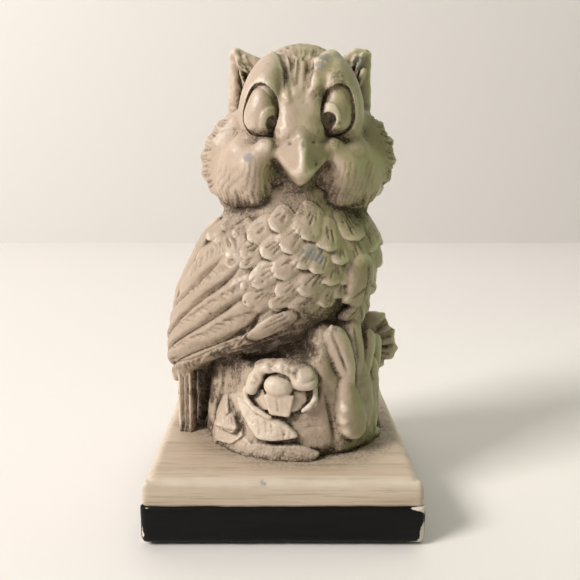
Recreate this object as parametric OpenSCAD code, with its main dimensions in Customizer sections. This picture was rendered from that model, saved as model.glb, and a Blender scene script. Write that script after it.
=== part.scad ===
// Owl figurine: an owl perched on a carved stump with a rose and leaves, on a two-tier square plinth.
// Millimetres. +Z is up, the owl looks along -Y, and the origin is the centre of the felt's underside.

/* [Plinth] */
// Width and depth of the black lower block
block_w = 71.6; // [64:0.2:90]
// Height of the black lower block
block_h = 10; // [6:0.5:16]
// Width and depth of the wood-grained slab
slab_w = 70.4; // [64:0.2:90]
// Height of the wood-grained slab
slab_h = 7; // [5:0.5:12]
// Radius of the slab's rounded upper edge
slab_round = 3; // [1:0.5:4]
// Thickness of the felt under the block
felt_t = 0.8; // [0.5:0.1:2]

/* [Stump] */
// Radius of the stump at its foot
stump_r = 24.5; // [20:0.5:26]
// Height of the stump
stump_h = 27; // [24:0.5:30]
// Radius of the rose's outer petals
rose_r = 9.4; // [7:0.2:11]

/* [Owl] */
// Radius of the breast
breast_r = 21; // [18:0.5:23]
// Radius of the skull
skull_r = 17.5; // [15:0.5:19]
// Radius of each cheek pouch
cheek_r = 11.5; // [9:0.5:13]
// Radius of one breast feather
scale_r = 3.6; // [2.5:0.1:4.5]

/* [Hidden] */

cast_cream = [0.80, 0.74, 0.65];
raised_cream = [0.87, 0.82, 0.74];
slab_cream = [0.83, 0.76, 0.65];

block_z = felt_t;                     // underside of the black block
slab_z = block_z + block_h;           // underside of the slab
top_z = slab_z + slab_h;              // the face that the stump stands on
edge = 50;                            // longer than any radius, for cutting tools
corner_r = 1.2;                       // upright corners of the plinth
felt_inset = 3;                       // felt stops this far inside the block's edge

axis = [3.5, 1.4];                    // upright axis of the stump
neck = [4, 1, 84];                    // where the head meets the body
skull = [4.5, 2, top_z + 86];         // centre of the skull
breast = [4.5, 1, top_z + 45];        // centre of the breast
rose = [-0.6, -22, top_z + 17.5];     // centre of the rose on the stump's front
rose_depth = 6;                       // the hollow's floor lies this far behind that centre
face_x = skull[0] - 0.3;              // the face's own middle line
screw_r = 2;                          // shank of the fixing screw
screw_head_r = 4;
screw_grip = 9;                       // how far the screw runs up into the stump
fit_gap = 0.3;                        // radial clearance round the screw's shank in the plinth

$fn = 48;

// ---------- shared shapes ----------
module rounded_square(w, r) {
    square([w, w - 2 * r], center = true);
    square([w - 2 * r, w], center = true);
    for (x = [-1, 1], y = [-1, 1])
        translate([x, y] * (w / 2 - r)) circle(r);
}

// A solid egg with three radii, turned about X, Y and Z.
module egg(at, radii, turn = [0, 0, 0], fn = 28) {
    hull() translate(at) rotate(turn) scale(radii) sphere(1, $fn = fn);
}

// A rounded, tapering limb between two points.
module limb(p, rp, q, rq, fn = 20) {
    hull() {
        translate(p) sphere(rp, $fn = fn);
        translate(q) sphere(rq, $fn = fn);
    }
}

// A pointed leaf plate of the given length and width, its stalk end at the origin and its tip along +Z.
module leaf_plate(length, width, thick) {
    r = (length * length + width * width) / (4 * width);
    rotate([90, 0, 0]) translate([0, length / 2, -thick / 2]) linear_extrude(thick)
        intersection() {
            translate([r - width / 2, 0]) circle(r, $fn = 96);
            translate([width / 2 - r, 0]) circle(r, $fn = 96);
        }
}

// Puts a shape on the stump's skin at an angle from the front, leaning by tilt in the skin's plane.
module on_stump(angle, z, lean = 0, out = 0) {
    translate([axis[0], axis[1], z]) rotate([0, 0, angle])
        translate([0, -stump_r - out, 0]) rotate([0, lean, 0]) children();
}

// ---------- forms that several nodes are cut against ----------
module stump_form() {
    translate([axis[0], axis[1], top_z]) rotate_extrude($fn = 72)
        polygon([[0, 0], [stump_r, 0], [stump_r, 4], [stump_r - 1.2, 12],
                 [stump_r - 2, stump_h - 5], [stump_r - 5, stump_h], [0, stump_h]]);
}

module body_form() {
    hull() {
        translate(breast) sphere(breast_r, $fn = 32);
        translate([neck[0], neck[1] + 1, neck[2] - 3]) sphere(13, $fn = 28);
        translate([-12, 5, top_z + 33]) sphere(12, $fn = 28);
    }
}

module head_form() {
    hull() {
        translate(skull) sphere(skull_r, $fn = 28);
        translate([skull[0], skull[1] + 1, skull[2] - 11]) sphere(skull_r + 1, $fn = 28);
    }
    for (side = [-1, 1]) {
        egg([face_x + side * 13, -6.5, top_z + 76], [cheek_r, cheek_r, cheek_r + 1.5], fn = 24);
        egg([face_x + side * 8.6, -4, top_z + 95], [9.5, 9.5, 12], fn = 24);
    }
}

module wing_form(side) {
    tip = side < 0 ? [-28, -2, top_z + 19] : [22, 9, top_z + 26];
    hull() {
        egg([face_x + side * 15, -1, top_z + 53], [9, 13, 11], fn = 24);
        translate(tip) sphere(4.2, $fn = 20);
        translate(tip + [-side * 7, 4, 12]) sphere(8.5, $fn = 20);
    }
}

module eye_form(side) {
    egg([face_x + side * 8.7, -8.6, top_z + 90], [5.6, 6.5, 8.6]);
}

// ---------- plinth ----------
module felt_pad() {
    color([0.16, 0.22, 0.16]) linear_extrude(felt_t)
        rounded_square(block_w - 2 * felt_inset, corner_r);
}

module plinth_block() {
    color([0.07, 0.07, 0.075]) translate([0, 0, block_z]) difference() {
        linear_extrude(block_h) rounded_square(block_w, corner_r);
        translate([axis[0], axis[1], -1]) cylinder(h = block_h + 2, r = screw_r + fit_gap);
        translate([axis[0], axis[1], -1]) cylinder(h = 4, r = screw_head_r + fit_gap);
    }
}

// The slab's edge profile: upright below, rounded above.
module slab_profile() {
    square([slab_w - 2 * slab_round, slab_h]);
    translate([-slab_round, 0]) square([slab_w, slab_h - slab_round]);
    for (x = [0, slab_w - 2 * slab_round])
        translate([x, slab_h - slab_round]) circle(slab_round);
}

module slab_run() {
    translate([0, slab_w / 2, 0]) rotate([90, 0, 0]) linear_extrude(slab_w)
        translate([slab_round - slab_w / 2, 0]) slab_profile();
}

module plinth_slab() {
    color(slab_cream) translate([0, 0, slab_z]) difference() {
        intersection() {
            slab_run();
            rotate([0, 0, 90]) slab_run();
        }
        translate([axis[0], axis[1], -1]) cylinder(h = slab_h + 2, r = screw_r + fit_gap);
    }
}

module screw_form() {
    head_h = 3;
    translate([axis[0], axis[1], block_z]) {
        cylinder(h = head_h, r = screw_head_r);
        cylinder(h = block_h + slab_h + screw_grip, r = screw_r);
    }
}

module fixing_screw() {
    slot_w = 1;
    color([0.65, 0.66, 0.68]) difference() {
        screw_form();
        translate([axis[0] - edge / 2, axis[1] - slot_w / 2, block_z - 1]) cube([edge, slot_w, 2]);
    }
}

// ---------- stump and its carving ----------
// The round hollow that the rose sits in; its floor is flat.
module rose_hollow() {
    translate(rose + [0, rose_depth, 0]) rotate([90, 0, 0]) cylinder(h = 20, r = rose_r + 0.4);
}

module stump() {
    grooves = 22;
    color(cast_cream) difference() {
        stump_form();
        for (i = [0 : grooves - 1]) {
            angle = 50 + i * 260 / grooves;
            on_stump(angle, top_z + 4, 0, 0.2) cylinder(h = edge, r = 0.8, $fn = 16);
        }
        rose_hollow();
        screw_form();
    }
}

module bud_form() {
    translate(rose + [0, 2.4, -0.5]) sphere(4.1, $fn = 40);
}

// Keeps only what stands in front of the hollow's floor.
module cut_at_floor() {
    intersection() {
        children();
        rose_hollow();
    }
}

// Outer petals: a ring of plump lobes, each a little raised above the last.
module rose_petals() {
    petals = 8;
    lobe_r = 3.1;
    color(raised_cream) difference() {
        cut_at_floor() translate(rose + [0, 3.4, 0]) rotate([90, 0, 0])
            for (i = [0 : petals - 1])
                rotate([0, 0, i * 360 / petals]) translate([rose_r - lobe_r, 0, 0.2 * i])
                    sphere(lobe_r, $fn = 24);
        bud_form();
    }
}

module rose_bud() {
    fold_h = 0.8;
    color(raised_cream) difference() {
        cut_at_floor() bud_form();
        translate(rose + [-edge / 2, -2.2, -1.6]) cube([edge, 1.6, fold_h]);
    }
}

module cut_to_stump() {
    difference() {
        children();
        stump_form();
        rose_hollow();
    }
}

module rose_leaf() {
    color(raised_cream) cut_to_stump()
        translate([-11, -18.6, top_z + 13.5]) rotate([0, 117, 12]) leaf_plate(17.5, 6, 7);
}

module foot_leaves() {
    color(cast_cream) cut_to_stump() {
        on_stump(-52, top_z + 0.6, -14) leaf_plate(12, 9, 4);
        on_stump(-60, top_z + 9, 20) leaf_plate(12, 8, 4);
        on_stump(-10, top_z + 0.5, -78) leaf_plate(17, 5, 4);
        on_stump(2, top_z + 0.5, 76) leaf_plate(15, 5, 4);
    }
}

module middle_leaf() {
    on_stump(39, top_z + 14, 6) leaf_plate(18, 6, 5);
}

module leaf_spray() {
    color(cast_cream) cut_to_stump() {
        on_stump(26, top_z + 19, -12) leaf_plate(16, 6.6, 5);
        middle_leaf();
        on_stump(54, top_z + 16, 12) leaf_plate(15, 5.4, 5);
    }
}

// A three-lobed leaf hanging in front of the owl's left wing.
module hanging_leaf() {
    color(cast_cream) difference() {
        translate([21, -8.5, top_z + 33]) {
            leaf_plate(14, 6.5, 6);
            for (side = [-1, 1]) translate([side * 0.5, 0, 4]) rotate([0, side * 32, 0]) leaf_plate(8, 5, 5);
        }
        body_form();
        wing_form(1);
        middle_leaf();
        on_stump(54, top_z + 16, 12) leaf_plate(15, 5.4, 5);
    }
}

module pointed_bud() {
    color(raised_cream) difference() {
        on_stump(38, top_z + 3.5, 0, 0.4) limb([0, 0.5, 9], 4, [0, 0, 0], 1.2);
        stump_form();
        middle_leaf();
    }
}

module side_leaf() {
    color(cast_cream) difference() {
        union() {
            limb([25, 5, top_z + 22], 3, [31.2, 4.5, top_z + 25.5], 2);
            limb([25, 6, top_z + 18], 2.6, [29.5, 5.5, top_z + 30], 1.8);
        }
        stump_form();
        body_form();
        wing_form(1);
    }
}

// ---------- owl ----------
module body() {
    color(cast_cream) difference() {
        body_form();
        stump_form();
        head_form();
    }
}

// Breast feathers: staggered rows of flat, rounded scales round the breast's front.
module breast_feathers() {
    rows = 6;
    per_row = 6;
    color(raised_cream) difference() {
        for (row = [0 : rows - 1], k = [0 : per_row - 1]) {
            height = 14 - row * 5.2;
            turn = -48 + k * 19 + (row % 2) * 9.5;
            ring = sqrt(breast_r * breast_r - height * height);
            translate([breast[0], breast[1], breast[2] + height]) rotate([0, 0, turn])
                translate([0, -ring + 0.1, 0]) rotate([90 - height * 2.2, 0, 0])
                    egg([0, 0, 0], [scale_r, scale_r + 0.6, 1], fn = 15);
        }
        body_form();
        head_form();
        wing_form(-1);
        wing_form(1);
    }
}

module wing(side) {
    color(cast_cream) difference() {
        wing_form(side);
        body_form();
        stump_form();
        head_form();
    }
}

module tail_feathers() {
    color(cast_cream) difference() {
        for (i = [0 : 2])
            translate([-29 + i * 2.6, -4.6 + i * 1.2, top_z]) cube([2.3, 7, 22]);
        wing_form(-1);
        body_form();
        stump_form();
    }
}

module head() {
    color(cast_cream) difference() {
        head_form();
        for (side = [-1, 1]) eye_form(side);
    }
}

module beak() {
    root = [face_x, -16, top_z + 83];
    color(raised_cream) difference() {
        hull() {
            translate(root) sphere(4.4, $fn = 24);
            translate([face_x - 4.5, -17, top_z + 79]) sphere(1.6, $fn = 16);
            translate([face_x + 4.5, -17, top_z + 79]) sphere(1.6, $fn = 16);
            translate([face_x, -25.4, top_z + 72.8]) sphere(1, $fn = 16);
        }
        head_form();
        for (side = [-1, 1]) eye_form(side);
    }
}

module eye(side) {
    color(raised_cream) difference() {
        eye_form(side);
        translate([face_x + side * 6, -17, top_z + 87]) rotate([90, 0, 0])
            cylinder(h = 6, r = 2.2, center = true, $fn = 32);
    }
}

module ear_tuft(side) {
    foot = [face_x + side * 14.2, 3.5, top_z + 92];
    color(cast_cream) difference() {
        hull() {
            translate(foot) sphere(4.5, $fn = 24);
            translate([face_x + side * 17.5, 2.5, top_z + 105.6]) sphere(1.4, $fn = 16);
            translate([face_x + side * 11, 1.5, top_z + 101]) sphere(2, $fn = 16);
        }
        head_form();
    }
}

// Ruff: a fan of flat, rounded plumes behind each cheek.
module ruff(side) {
    color(cast_cream) difference() {
        for (i = [0 : 4]) {
            angle = -40 + i * 24;
            translate([face_x + side * 15, 3, top_z + 78]) rotate([0, -side * angle, 0])
                egg([side * 6.5, 0, 0], [5.6, 5.6, 3.5], fn = 20);
        }
        head_form();
        body_form();
        wing_form(side);
    }
}

module crown_feathers() {
    plumes = 5;
    color(cast_cream) difference() {
        for (i = [0 : plumes - 1])
            egg([face_x - 5.6 + i * 2.8, 0, top_z + 101.6 + 3.4 * sin(36 * (i + 0.5))], [1.9, 5, 3], fn = 20);
        head_form();
    }
}

// ---------- assembly ----------
felt_pad();
plinth_block();
plinth_slab();
fixing_screw();
stump();
rose_petals();
rose_bud();
rose_leaf();
foot_leaves();
leaf_spray();
hanging_leaf();
pointed_bud();
side_leaf();
body();
breast_feathers();
wing(-1);  // right_wing
wing(1);  // left_wing
tail_feathers();
head();
beak();
eye(-1);  // right_eye
eye(1);  // left_eye
ear_tuft(-1);  // right_ear_tuft
ear_tuft(1);  // left_ear_tuft
ruff(-1);  // right_ruff
ruff(1);  // left_ruff
crown_feathers();
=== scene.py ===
"""An owl figurine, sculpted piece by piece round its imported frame.

Every cast piece is built like clay: rounded forms are added to and cut from a field of distances on one
lattice that all the pieces share, the field is turned into a mesh, and fine strokes are then pressed into
the mesh's points. The sculpting is in millimetres, +X right, +Y back, +Z up. Meshes are made in metres.
"""
import math
import bpy
import numpy as np
from mathutils import Euler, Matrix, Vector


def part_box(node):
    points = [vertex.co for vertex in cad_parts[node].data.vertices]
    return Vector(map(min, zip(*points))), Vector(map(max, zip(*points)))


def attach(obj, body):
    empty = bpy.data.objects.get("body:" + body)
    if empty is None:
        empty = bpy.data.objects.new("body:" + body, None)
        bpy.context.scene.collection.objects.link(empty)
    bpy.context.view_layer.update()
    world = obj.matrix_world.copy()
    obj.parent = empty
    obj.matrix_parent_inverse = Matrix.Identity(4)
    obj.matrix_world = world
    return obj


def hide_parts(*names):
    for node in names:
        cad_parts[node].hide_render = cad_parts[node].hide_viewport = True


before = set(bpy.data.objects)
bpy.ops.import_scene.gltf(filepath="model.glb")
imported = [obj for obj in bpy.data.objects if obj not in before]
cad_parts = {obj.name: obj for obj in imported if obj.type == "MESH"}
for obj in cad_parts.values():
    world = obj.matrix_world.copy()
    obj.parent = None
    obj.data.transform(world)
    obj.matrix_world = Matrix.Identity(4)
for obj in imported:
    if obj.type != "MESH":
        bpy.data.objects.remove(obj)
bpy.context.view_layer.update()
MM = 0.001


def node_box(name):
    """Lowest and highest corner of a CAD node, in millimetres."""
    low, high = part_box(name)
    return np.array(low) / MM, np.array(high) / MM


TOP_Z = float(node_box("plinth_slab")[1][2])     # the face that the stump stands on
FACE_X = 4.2                                     # the face's own middle line
AXIS_X, AXIS_Y = 3.5, 1.4                        # the stump's upright axis

# ---------------------------------------------------------------- camera, stage and light
CAMERA_AT = (-1.7, -180.0, 95.7)                 # millimetres
CAMERA_DOWN = math.degrees(math.atan(0.20625))   # degrees below the horizon
CAMERA_LENS, CAMERA_SENSOR = 39.72, 36           # millimetres
CAMERA_SHIFT = 0.0241                            # how far the view moves right, of its own width
WALL_Y = 552                                     # where the table meets the wall, millimetres
STAGE_REACH = 3.0                                # how far table and wall go on, metres
TABLE_TONE = (0.87, 0.836, 0.808)
WALL_TONE = (0.80, 0.772, 0.74)
LEFT_AIR = (0.255, 0.25, 0.245, 1)
RIGHT_AIR = (0.05, 0.059, 0.034, 1)
# Lights: place and aim in metres, size in metres, power in watts, and colour.
LIGHTS = {"window": ((-1.10, -0.62, 1.00), (0, 0, 0.06), 0.46, 24.2, (1.0, 0.962, 0.918)),
          "wall_wash": ((0.3, 0.16, 1.3), (0.6, 0.52, 0.1), 0.8, 3.2, (1.0, 0.97, 0.94)),
          "green_glow": ((0.42, 0.10, 0.16), (0, 0, 0.07), 0.22, 0.04, (0.5, 0.85, 0.22))}
GLOW_SPREAD = 70                                 # degrees


def make_camera():
    data = bpy.data.cameras.new("camera")
    data.sensor_width = CAMERA_SENSOR
    data.lens = CAMERA_LENS
    data.shift_x = CAMERA_SHIFT
    data.clip_start = 0.01
    camera = bpy.data.objects.new("camera", data)
    bpy.context.scene.collection.objects.link(camera)
    camera.location = [c * MM for c in CAMERA_AT]
    camera.rotation_euler = (math.radians(90 - CAMERA_DOWN), 0, 0)
    bpy.context.scene.camera = camera


def plain_material(name, color, roughness):
    material = bpy.data.materials.new(name)
    material.use_nodes = True
    shader = material.node_tree.nodes["Principled BSDF"]
    shader.inputs["Base Color"].default_value = (*color, 1)
    shader.inputs["Roughness"].default_value = roughness
    return material


def make_stage():
    """A pale table that meets a pale wall."""
    half, wall = STAGE_REACH, WALL_Y * MM
    sheets = {"table": [(-half, -half, 0), (half, -half, 0), (half, wall, 0), (-half, wall, 0)],
              "wall": [(-half, wall, 0), (half, wall, 0), (half, wall, half), (-half, wall, half)]}
    tones = {"table": TABLE_TONE, "wall": WALL_TONE}
    for name, corners in sheets.items():
        mesh = bpy.data.meshes.new(name)
        mesh.from_pydata(corners, [], [(0, 1, 2, 3)])
        sheet = bpy.data.objects.new(name, mesh)
        bpy.context.scene.collection.objects.link(sheet)
        mesh.materials.append(plain_material(name, tones[name], 0.6))


def add_light(name, at, aim, size, power, color):
    data = bpy.data.lights.new(name, "AREA")
    data.size = size
    data.energy = power
    data.color = color
    light = bpy.data.objects.new(name, data)
    bpy.context.scene.collection.objects.link(light)
    light.location = at
    way = np.array(aim) - np.array(at)
    flat = math.hypot(way[0], way[1])
    light.rotation_euler = (math.atan2(flat, -way[2]), 0, math.atan2(way[1], way[0]) - math.pi / 2)


def make_world():
    """Pale light all round, dimmer and greener from the right."""
    world = bpy.data.worlds.new("world")
    bpy.context.scene.world = world
    world.use_nodes = True
    tree = world.node_tree
    place = tree.nodes.new("ShaderNodeTexCoord")
    split = tree.nodes.new("ShaderNodeSeparateXYZ")
    side = tree.nodes.new("ShaderNodeMapRange")
    side.inputs["From Min"].default_value = -0.5
    side.inputs["From Max"].default_value = 0.8
    blend = tree.nodes.new("ShaderNodeMix")
    blend.data_type = "RGBA"
    blend.inputs[6].default_value = LEFT_AIR
    blend.inputs[7].default_value = RIGHT_AIR
    tree.links.new(place.outputs["Generated"], split.inputs[0])
    tree.links.new(split.outputs["X"], side.inputs["Value"])
    tree.links.new(side.outputs[0], blend.inputs["Factor"])
    tree.links.new(blend.outputs[2], tree.nodes["Background"].inputs["Color"])


def make_light():
    """Soft window light from the front left, a wash on the wall, and a faint green glow from the right."""
    make_world()
    for name, (at, aim, size, power, color) in LIGHTS.items():
        add_light(name, at, aim, size, power, color)
    bpy.data.lights["green_glow"].spread = math.radians(GLOW_SPREAD)
    bpy.context.scene.view_settings.view_transform = "Standard"


# ---------------------------------------------------------------- the shared lattice and the forms
VOXEL = 0.35              # spacing of the lattice
LATTICE_LOW = np.array([-36.0, -31.0, 14.0])
LATTICE_HIGH = np.array([36.0, 27.0, 129.0])
LATTICE_SHAPE = tuple(np.ceil((LATTICE_HIGH - LATTICE_LOW) / VOXEL).astype(int))
FAR = 30.0
SINK = 0.06                                      # how far a base dips under a piece that blends into it
whole = np.full(LATTICE_SHAPE, FAR, np.float32)  # the figure so far, all pieces together


def smooth_min(a, b, blend):
    if blend <= 0:
        return np.minimum(a, b)
    h = np.maximum(blend - np.abs(a - b), 0) / blend
    return np.minimum(a, b) - h * h * blend * 0.25


def smooth_max(a, b, blend):
    return -smooth_min(-a, -b, blend)


def turned(angles):
    """Rows are the turned X, Y and Z axes."""
    return np.array(Euler([math.radians(a) for a in angles]).to_matrix()).T


class Shape:
    """A form: a function of coordinates that gives a distance, and the box that holds the form."""

    def __init__(self, low, high, distance):
        self.low, self.high, self.distance = np.array(low, float), np.array(high, float), distance


def ball(centre, radii, turn=None):
    """An ellipsoid."""
    radii = np.array(radii if hasattr(radii, "__len__") else [radii] * 3, float)
    reach = radii if turn is None else np.full(3, radii.max())

    def distance(q):
        p = [q[i] - np.float32(centre[i]) for i in range(3)]
        if turn is not None:
            axes = turned(turn).astype(np.float32)
            p = [a[0] * p[0] + a[1] * p[1] + a[2] * p[2] for a in axes]
        near = np.sqrt(sum((p[i] / np.float32(radii[i])) ** 2 for i in range(3)))
        slope = np.sqrt(sum((p[i] / np.float32(radii[i] ** 2)) ** 2 for i in range(3)))
        return near * (near - 1) / np.maximum(slope, np.float32(1e-5))
    return Shape(np.array(centre) - reach, np.array(centre) + reach, distance)


def limb(start, end, start_r, end_r):
    """A round bar whose radius changes from one end to the other."""
    a, b = np.array(start, float), np.array(end, float)
    way = b - a
    length2 = max(float(way @ way), 1e-6)
    low = np.minimum(a - start_r, b - end_r)
    high = np.maximum(a + start_r, b + end_r)

    def distance(q):
        p = [q[i] - np.float32(a[i]) for i in range(3)]
        t = sum(p[i] * np.float32(way[i] / length2) for i in range(3)).clip(0, 1)
        gap = sum((p[i] - t * np.float32(way[i])) ** 2 for i in range(3))
        return np.sqrt(gap) - (np.float32(start_r) + t * np.float32(end_r - start_r))
    return Shape(low, high, distance)


def facets(planes, blend):
    """A form bounded by planes, each given by three points that turn left seen from outside."""
    faces = []
    for a, b, c in planes:
        a, b, c = [np.array(v, float) for v in (a, b, c)]
        normal = np.cross(b - a, c - a)
        normal = (normal / np.linalg.norm(normal)).astype(np.float32)
        faces.append((normal, np.float32(normal @ a)))
    corners = np.array([corner for plane in planes for corner in plane])

    def distance(q):
        total = None
        for normal, level in faces:
            d = normal[0] * q[0] + normal[1] * q[1] + normal[2] * q[2] - level
            total = d if total is None else smooth_max(total, d, blend)
        return total
    return Shape(corners.min(0), corners.max(0), distance)


def chip_form(corners, blend=0.5, deep=5.0):
    """A flat-topped form on a skin.

    Its top's corners go clockwise seen from outside, each as distance round, height and distance outward."""
    corners = np.array(corners, float)
    middle = corners.mean(0)
    flat = np.c_[corners[:, :2] - middle[:2], np.ones(len(corners))]
    tilt = np.linalg.lstsq(flat, corners[:, 2], rcond=None)[0]
    edges = []
    for k in range(len(corners)):
        a, b = corners[k - 1][:2], corners[k][:2]
        side = np.array([-(b - a)[1], (b - a)[0]]) / np.linalg.norm(b - a)
        edges.append((side.astype(np.float32), np.float32(side @ a)))

    def distance(q):
        level = (q[0] - middle[0]) * tilt[0] + (q[1] - middle[1]) * tilt[1] + tilt[2]
        top = q[2] - level.astype(np.float32)
        total = top / np.float32(math.sqrt(1 + tilt[0] ** 2 + tilt[1] ** 2))
        for side, reach in edges:
            total = smooth_max(total, side[0] * q[0] + side[1] * q[1] - reach, blend)
        return smooth_max(total, -top - np.float32(deep), blend)
    low = np.append(corners[:, :2].min(0), corners[:, 2].min() - deep)
    return Shape(low, corners.max(0), distance)


def leaf_frame(base, tip, facing):
    """Length, and unit vectors along, across and out of a leaf."""
    along = np.array(tip, float) - np.array(base, float)
    length = np.linalg.norm(along)
    along = along / length
    out = np.array(facing, float) - np.dot(facing, along) * along
    out = out / np.linalg.norm(out)
    return length, along, np.cross(out, along), out


def leaf_outline(x, root, point):
    """Half-width from 0 to 1 along a leaf, largest at root / (root + point)."""
    widest = root / (root + point)
    top = widest ** root * (1 - widest) ** point
    return x ** np.float32(root) * (1 - x) ** np.float32(point) / np.float32(top)


def leaf(base, tip, width, thick, facing, root, point, lift=0.0):
    """A plump blade from base to tip. root and point set its outline, and lift raises its tip."""
    length, along, across, out = leaf_frame(base, tip, facing)
    reach = width / 2 + thick + lift
    low, high = np.minimum(base, tip) - reach, np.maximum(base, tip) + reach

    def distance(q):
        p = [q[i] - np.float32(base[i]) for i in range(3)]
        s, t, n = [sum(p[i] * np.float32(axis[i]) for i in range(3)) for axis in (along, across, out)]
        x = (s / np.float32(length)).clip(0.004, 0.996)
        share = leaf_outline(x, root, point)
        half, deep = np.float32(width / 2) * share, np.float32(thick) * share ** np.float32(0.6)
        n = n - np.float32(lift) * x * x
        section = (np.sqrt((t / half) ** 2 + (n / deep) ** 2) - 1) * np.minimum(half, deep)
        return section + np.abs(s - s.clip(0, np.float32(length)))
    return Shape(low, high, distance)


SKIN_OUT = (0, 0, 1)                             # outward, in a loft's skin coordinates


class Loft:
    """An upright form with an oval section at every height.

    Its rows are height, centre x, centre y, radius x and radius y, in millimetres.
    Its skin has coordinates of its own: distance round from the front, height, and distance outward."""

    def __init__(self, rows, round_mm):
        rows = np.array(sorted(rows), float)
        self.round_mm = round_mm                  # radius that turns an angle into a distance round
        self.heights = np.arange(rows[0, 0] - 8, rows[-1, 0] + 8, 0.5)
        soft = np.ones(9) / 9
        self.columns = []
        for k in range(1, 5):
            values = np.interp(self.heights, rows[:, 0], rows[:, k])
            self.columns.append(np.convolve(np.pad(values, 4, mode="edge"), soft, mode="valid"))

    def section(self, z):
        return [np.interp(z, self.heights, column).astype(np.float32) for column in self.columns]

    def skin(self, q):
        """Distance round, height and distance outward for coordinates in space."""
        x, y, z = q
        cx, cy, rx, ry = self.section(z)
        u, v = (x - cx) / rx, (y - cy) / ry
        outward = (np.sqrt(u * u + v * v) - 1) * np.minimum(rx, ry) * np.float32(0.96)
        around = np.arctan2(u, -v) * np.float32(self.round_mm)
        return around, z + np.zeros_like(around), outward


class Clay:
    """A field of distances over a box of the lattice: below zero is solid."""

    def __init__(self, low, high):
        self.first = np.maximum(((np.array(low) - LATTICE_LOW) / VOXEL).astype(int), 0)
        last = np.minimum(((np.array(high) - LATTICE_LOW) / VOXEL).astype(int) + 2, LATTICE_SHAPE)
        self.shape = tuple(last - self.first)
        self.field = np.full(self.shape, FAR, np.float32)

    def part(self, low, high, margin):
        """The slices of a box, and the coordinates of its lattice points."""
        near = LATTICE_LOW + self.first * VOXEL
        a = np.clip(((low - margin - near) / VOXEL).astype(int), 0, self.shape)
        b = np.clip(((high + margin - near) / VOXEL).astype(int) + 2, 0, self.shape)
        cut = tuple(slice(i, j) for i, j in zip(a, b))
        q = []
        for k in range(3):
            line = (near[k] + VOXEL * np.arange(a[k], b[k])).astype(np.float32)
            q.append(line.reshape([-1 if j == k else 1 for j in range(3)]))
        return cut, q

    def all_points(self):
        return self.part(np.full(3, -1e3), np.full(3, 1e3), 0)[1]

    def add(self, shape, blend=0.0):
        cut, q = self.part(shape.low, shape.high, 1.0 + blend)
        if all(s.stop > s.start for s in cut):
            self.field[cut] = smooth_min(self.field[cut], shape.distance(q), blend)
        return self

    def cut(self, shape, blend=0.0):
        cut, q = self.part(shape.low, shape.high, 1.0 + blend)
        if all(s.stop > s.start for s in cut):
            self.field[cut] = smooth_max(self.field[cut], -shape.distance(q), blend)
        return self

    def add_limbs(self, rows):
        """Adds round bars, each given by its start, end, radius at both, and how softly it blends in."""
        for start, end, start_r, end_r, blend in rows:
            self.add(limb(start, end, start_r, end_r), blend)
        return self

    def keep_above(self, z, blend=0.0):
        self.field = smooth_max(self.field, np.float32(z) - self.all_points()[2], blend)
        return self

    def add_on_skin(self, loft, shapes, blend=0.0):
        """Adds forms given in a loft's skin coordinates."""
        full = [np.broadcast_to(c, self.shape) for c in loft.skin(self.all_points())]
        skin = [np.ascontiguousarray(c).ravel() for c in full]
        flat = self.field.ravel()
        for shape in shapes:
            margin = 1.0 + blend
            near = np.ones(len(flat), bool)
            for k in range(3):
                near &= (skin[k] > shape.low[k] - margin) & (skin[k] < shape.high[k] + margin)
            at = np.flatnonzero(near)
            flat[at] = smooth_min(flat[at], shape.distance([c[at] for c in skin]), blend)
        self.field = flat.reshape(self.shape)
        return self


def read_at(field, first, points, step=1):
    """Values of a lattice field at points in space, between its points by straight lines."""
    near = LATTICE_LOW + np.array(first) * VOXEL
    q = (points - near) / (VOXEL * step)
    top = np.array(field.shape) - 2
    i = np.clip(np.floor(q).astype(int), 0, top)
    f = np.clip(q - i, 0, 1).astype(np.float32)
    total = np.zeros(len(points), np.float32)
    for corner in range(8):
        c = [(corner >> k) & 1 for k in range(3)]
        share = np.ones(len(points), np.float32)
        for k in range(3):
            share = share * (f[:, k] if c[k] else 1 - f[:, k])
        total += share * field[i[:, 0] + c[0], i[:, 1] + c[1], i[:, 2] + c[2]]
    return total


def surface_cells(field, solid):
    """Cells that the surface runs through, their numbers, and the mean place where it cuts their edges."""
    count = np.zeros(tuple(n - 1 for n in field.shape), np.uint8)
    corners = [((c >> 0) & 1, (c >> 1) & 1, (c >> 2) & 1) for c in range(8)]
    for c in corners:
        count += solid[c[0]:field.shape[0] - 1 + c[0], c[1]:field.shape[1] - 1 + c[1],
                       c[2]:field.shape[2] - 1 + c[2]]
    cells = np.argwhere((count > 0) & (count < 8))
    number = np.full(count.shape, -1, np.int32)
    number[tuple(cells.T)] = np.arange(len(cells))
    values = [field[cells[:, 0] + c[0], cells[:, 1] + c[1], cells[:, 2] + c[2]] for c in corners]
    total, crossings = np.zeros((len(cells), 3)), np.zeros(len(cells))
    for a in range(8):
        for k in range(3):
            if corners[a][k]:
                continue
            b = a | (1 << k)
            cross = (values[a] < 0) != (values[b] < 0)
            t = values[a][cross] / (values[a][cross] - values[b][cross])
            place = np.tile(np.array(corners[a], float), (len(t), 1))
            place[:, k] += t
            total[cross] += place
            crossings[cross] += 1
    return cells, number, total / crossings[:, None]


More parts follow.
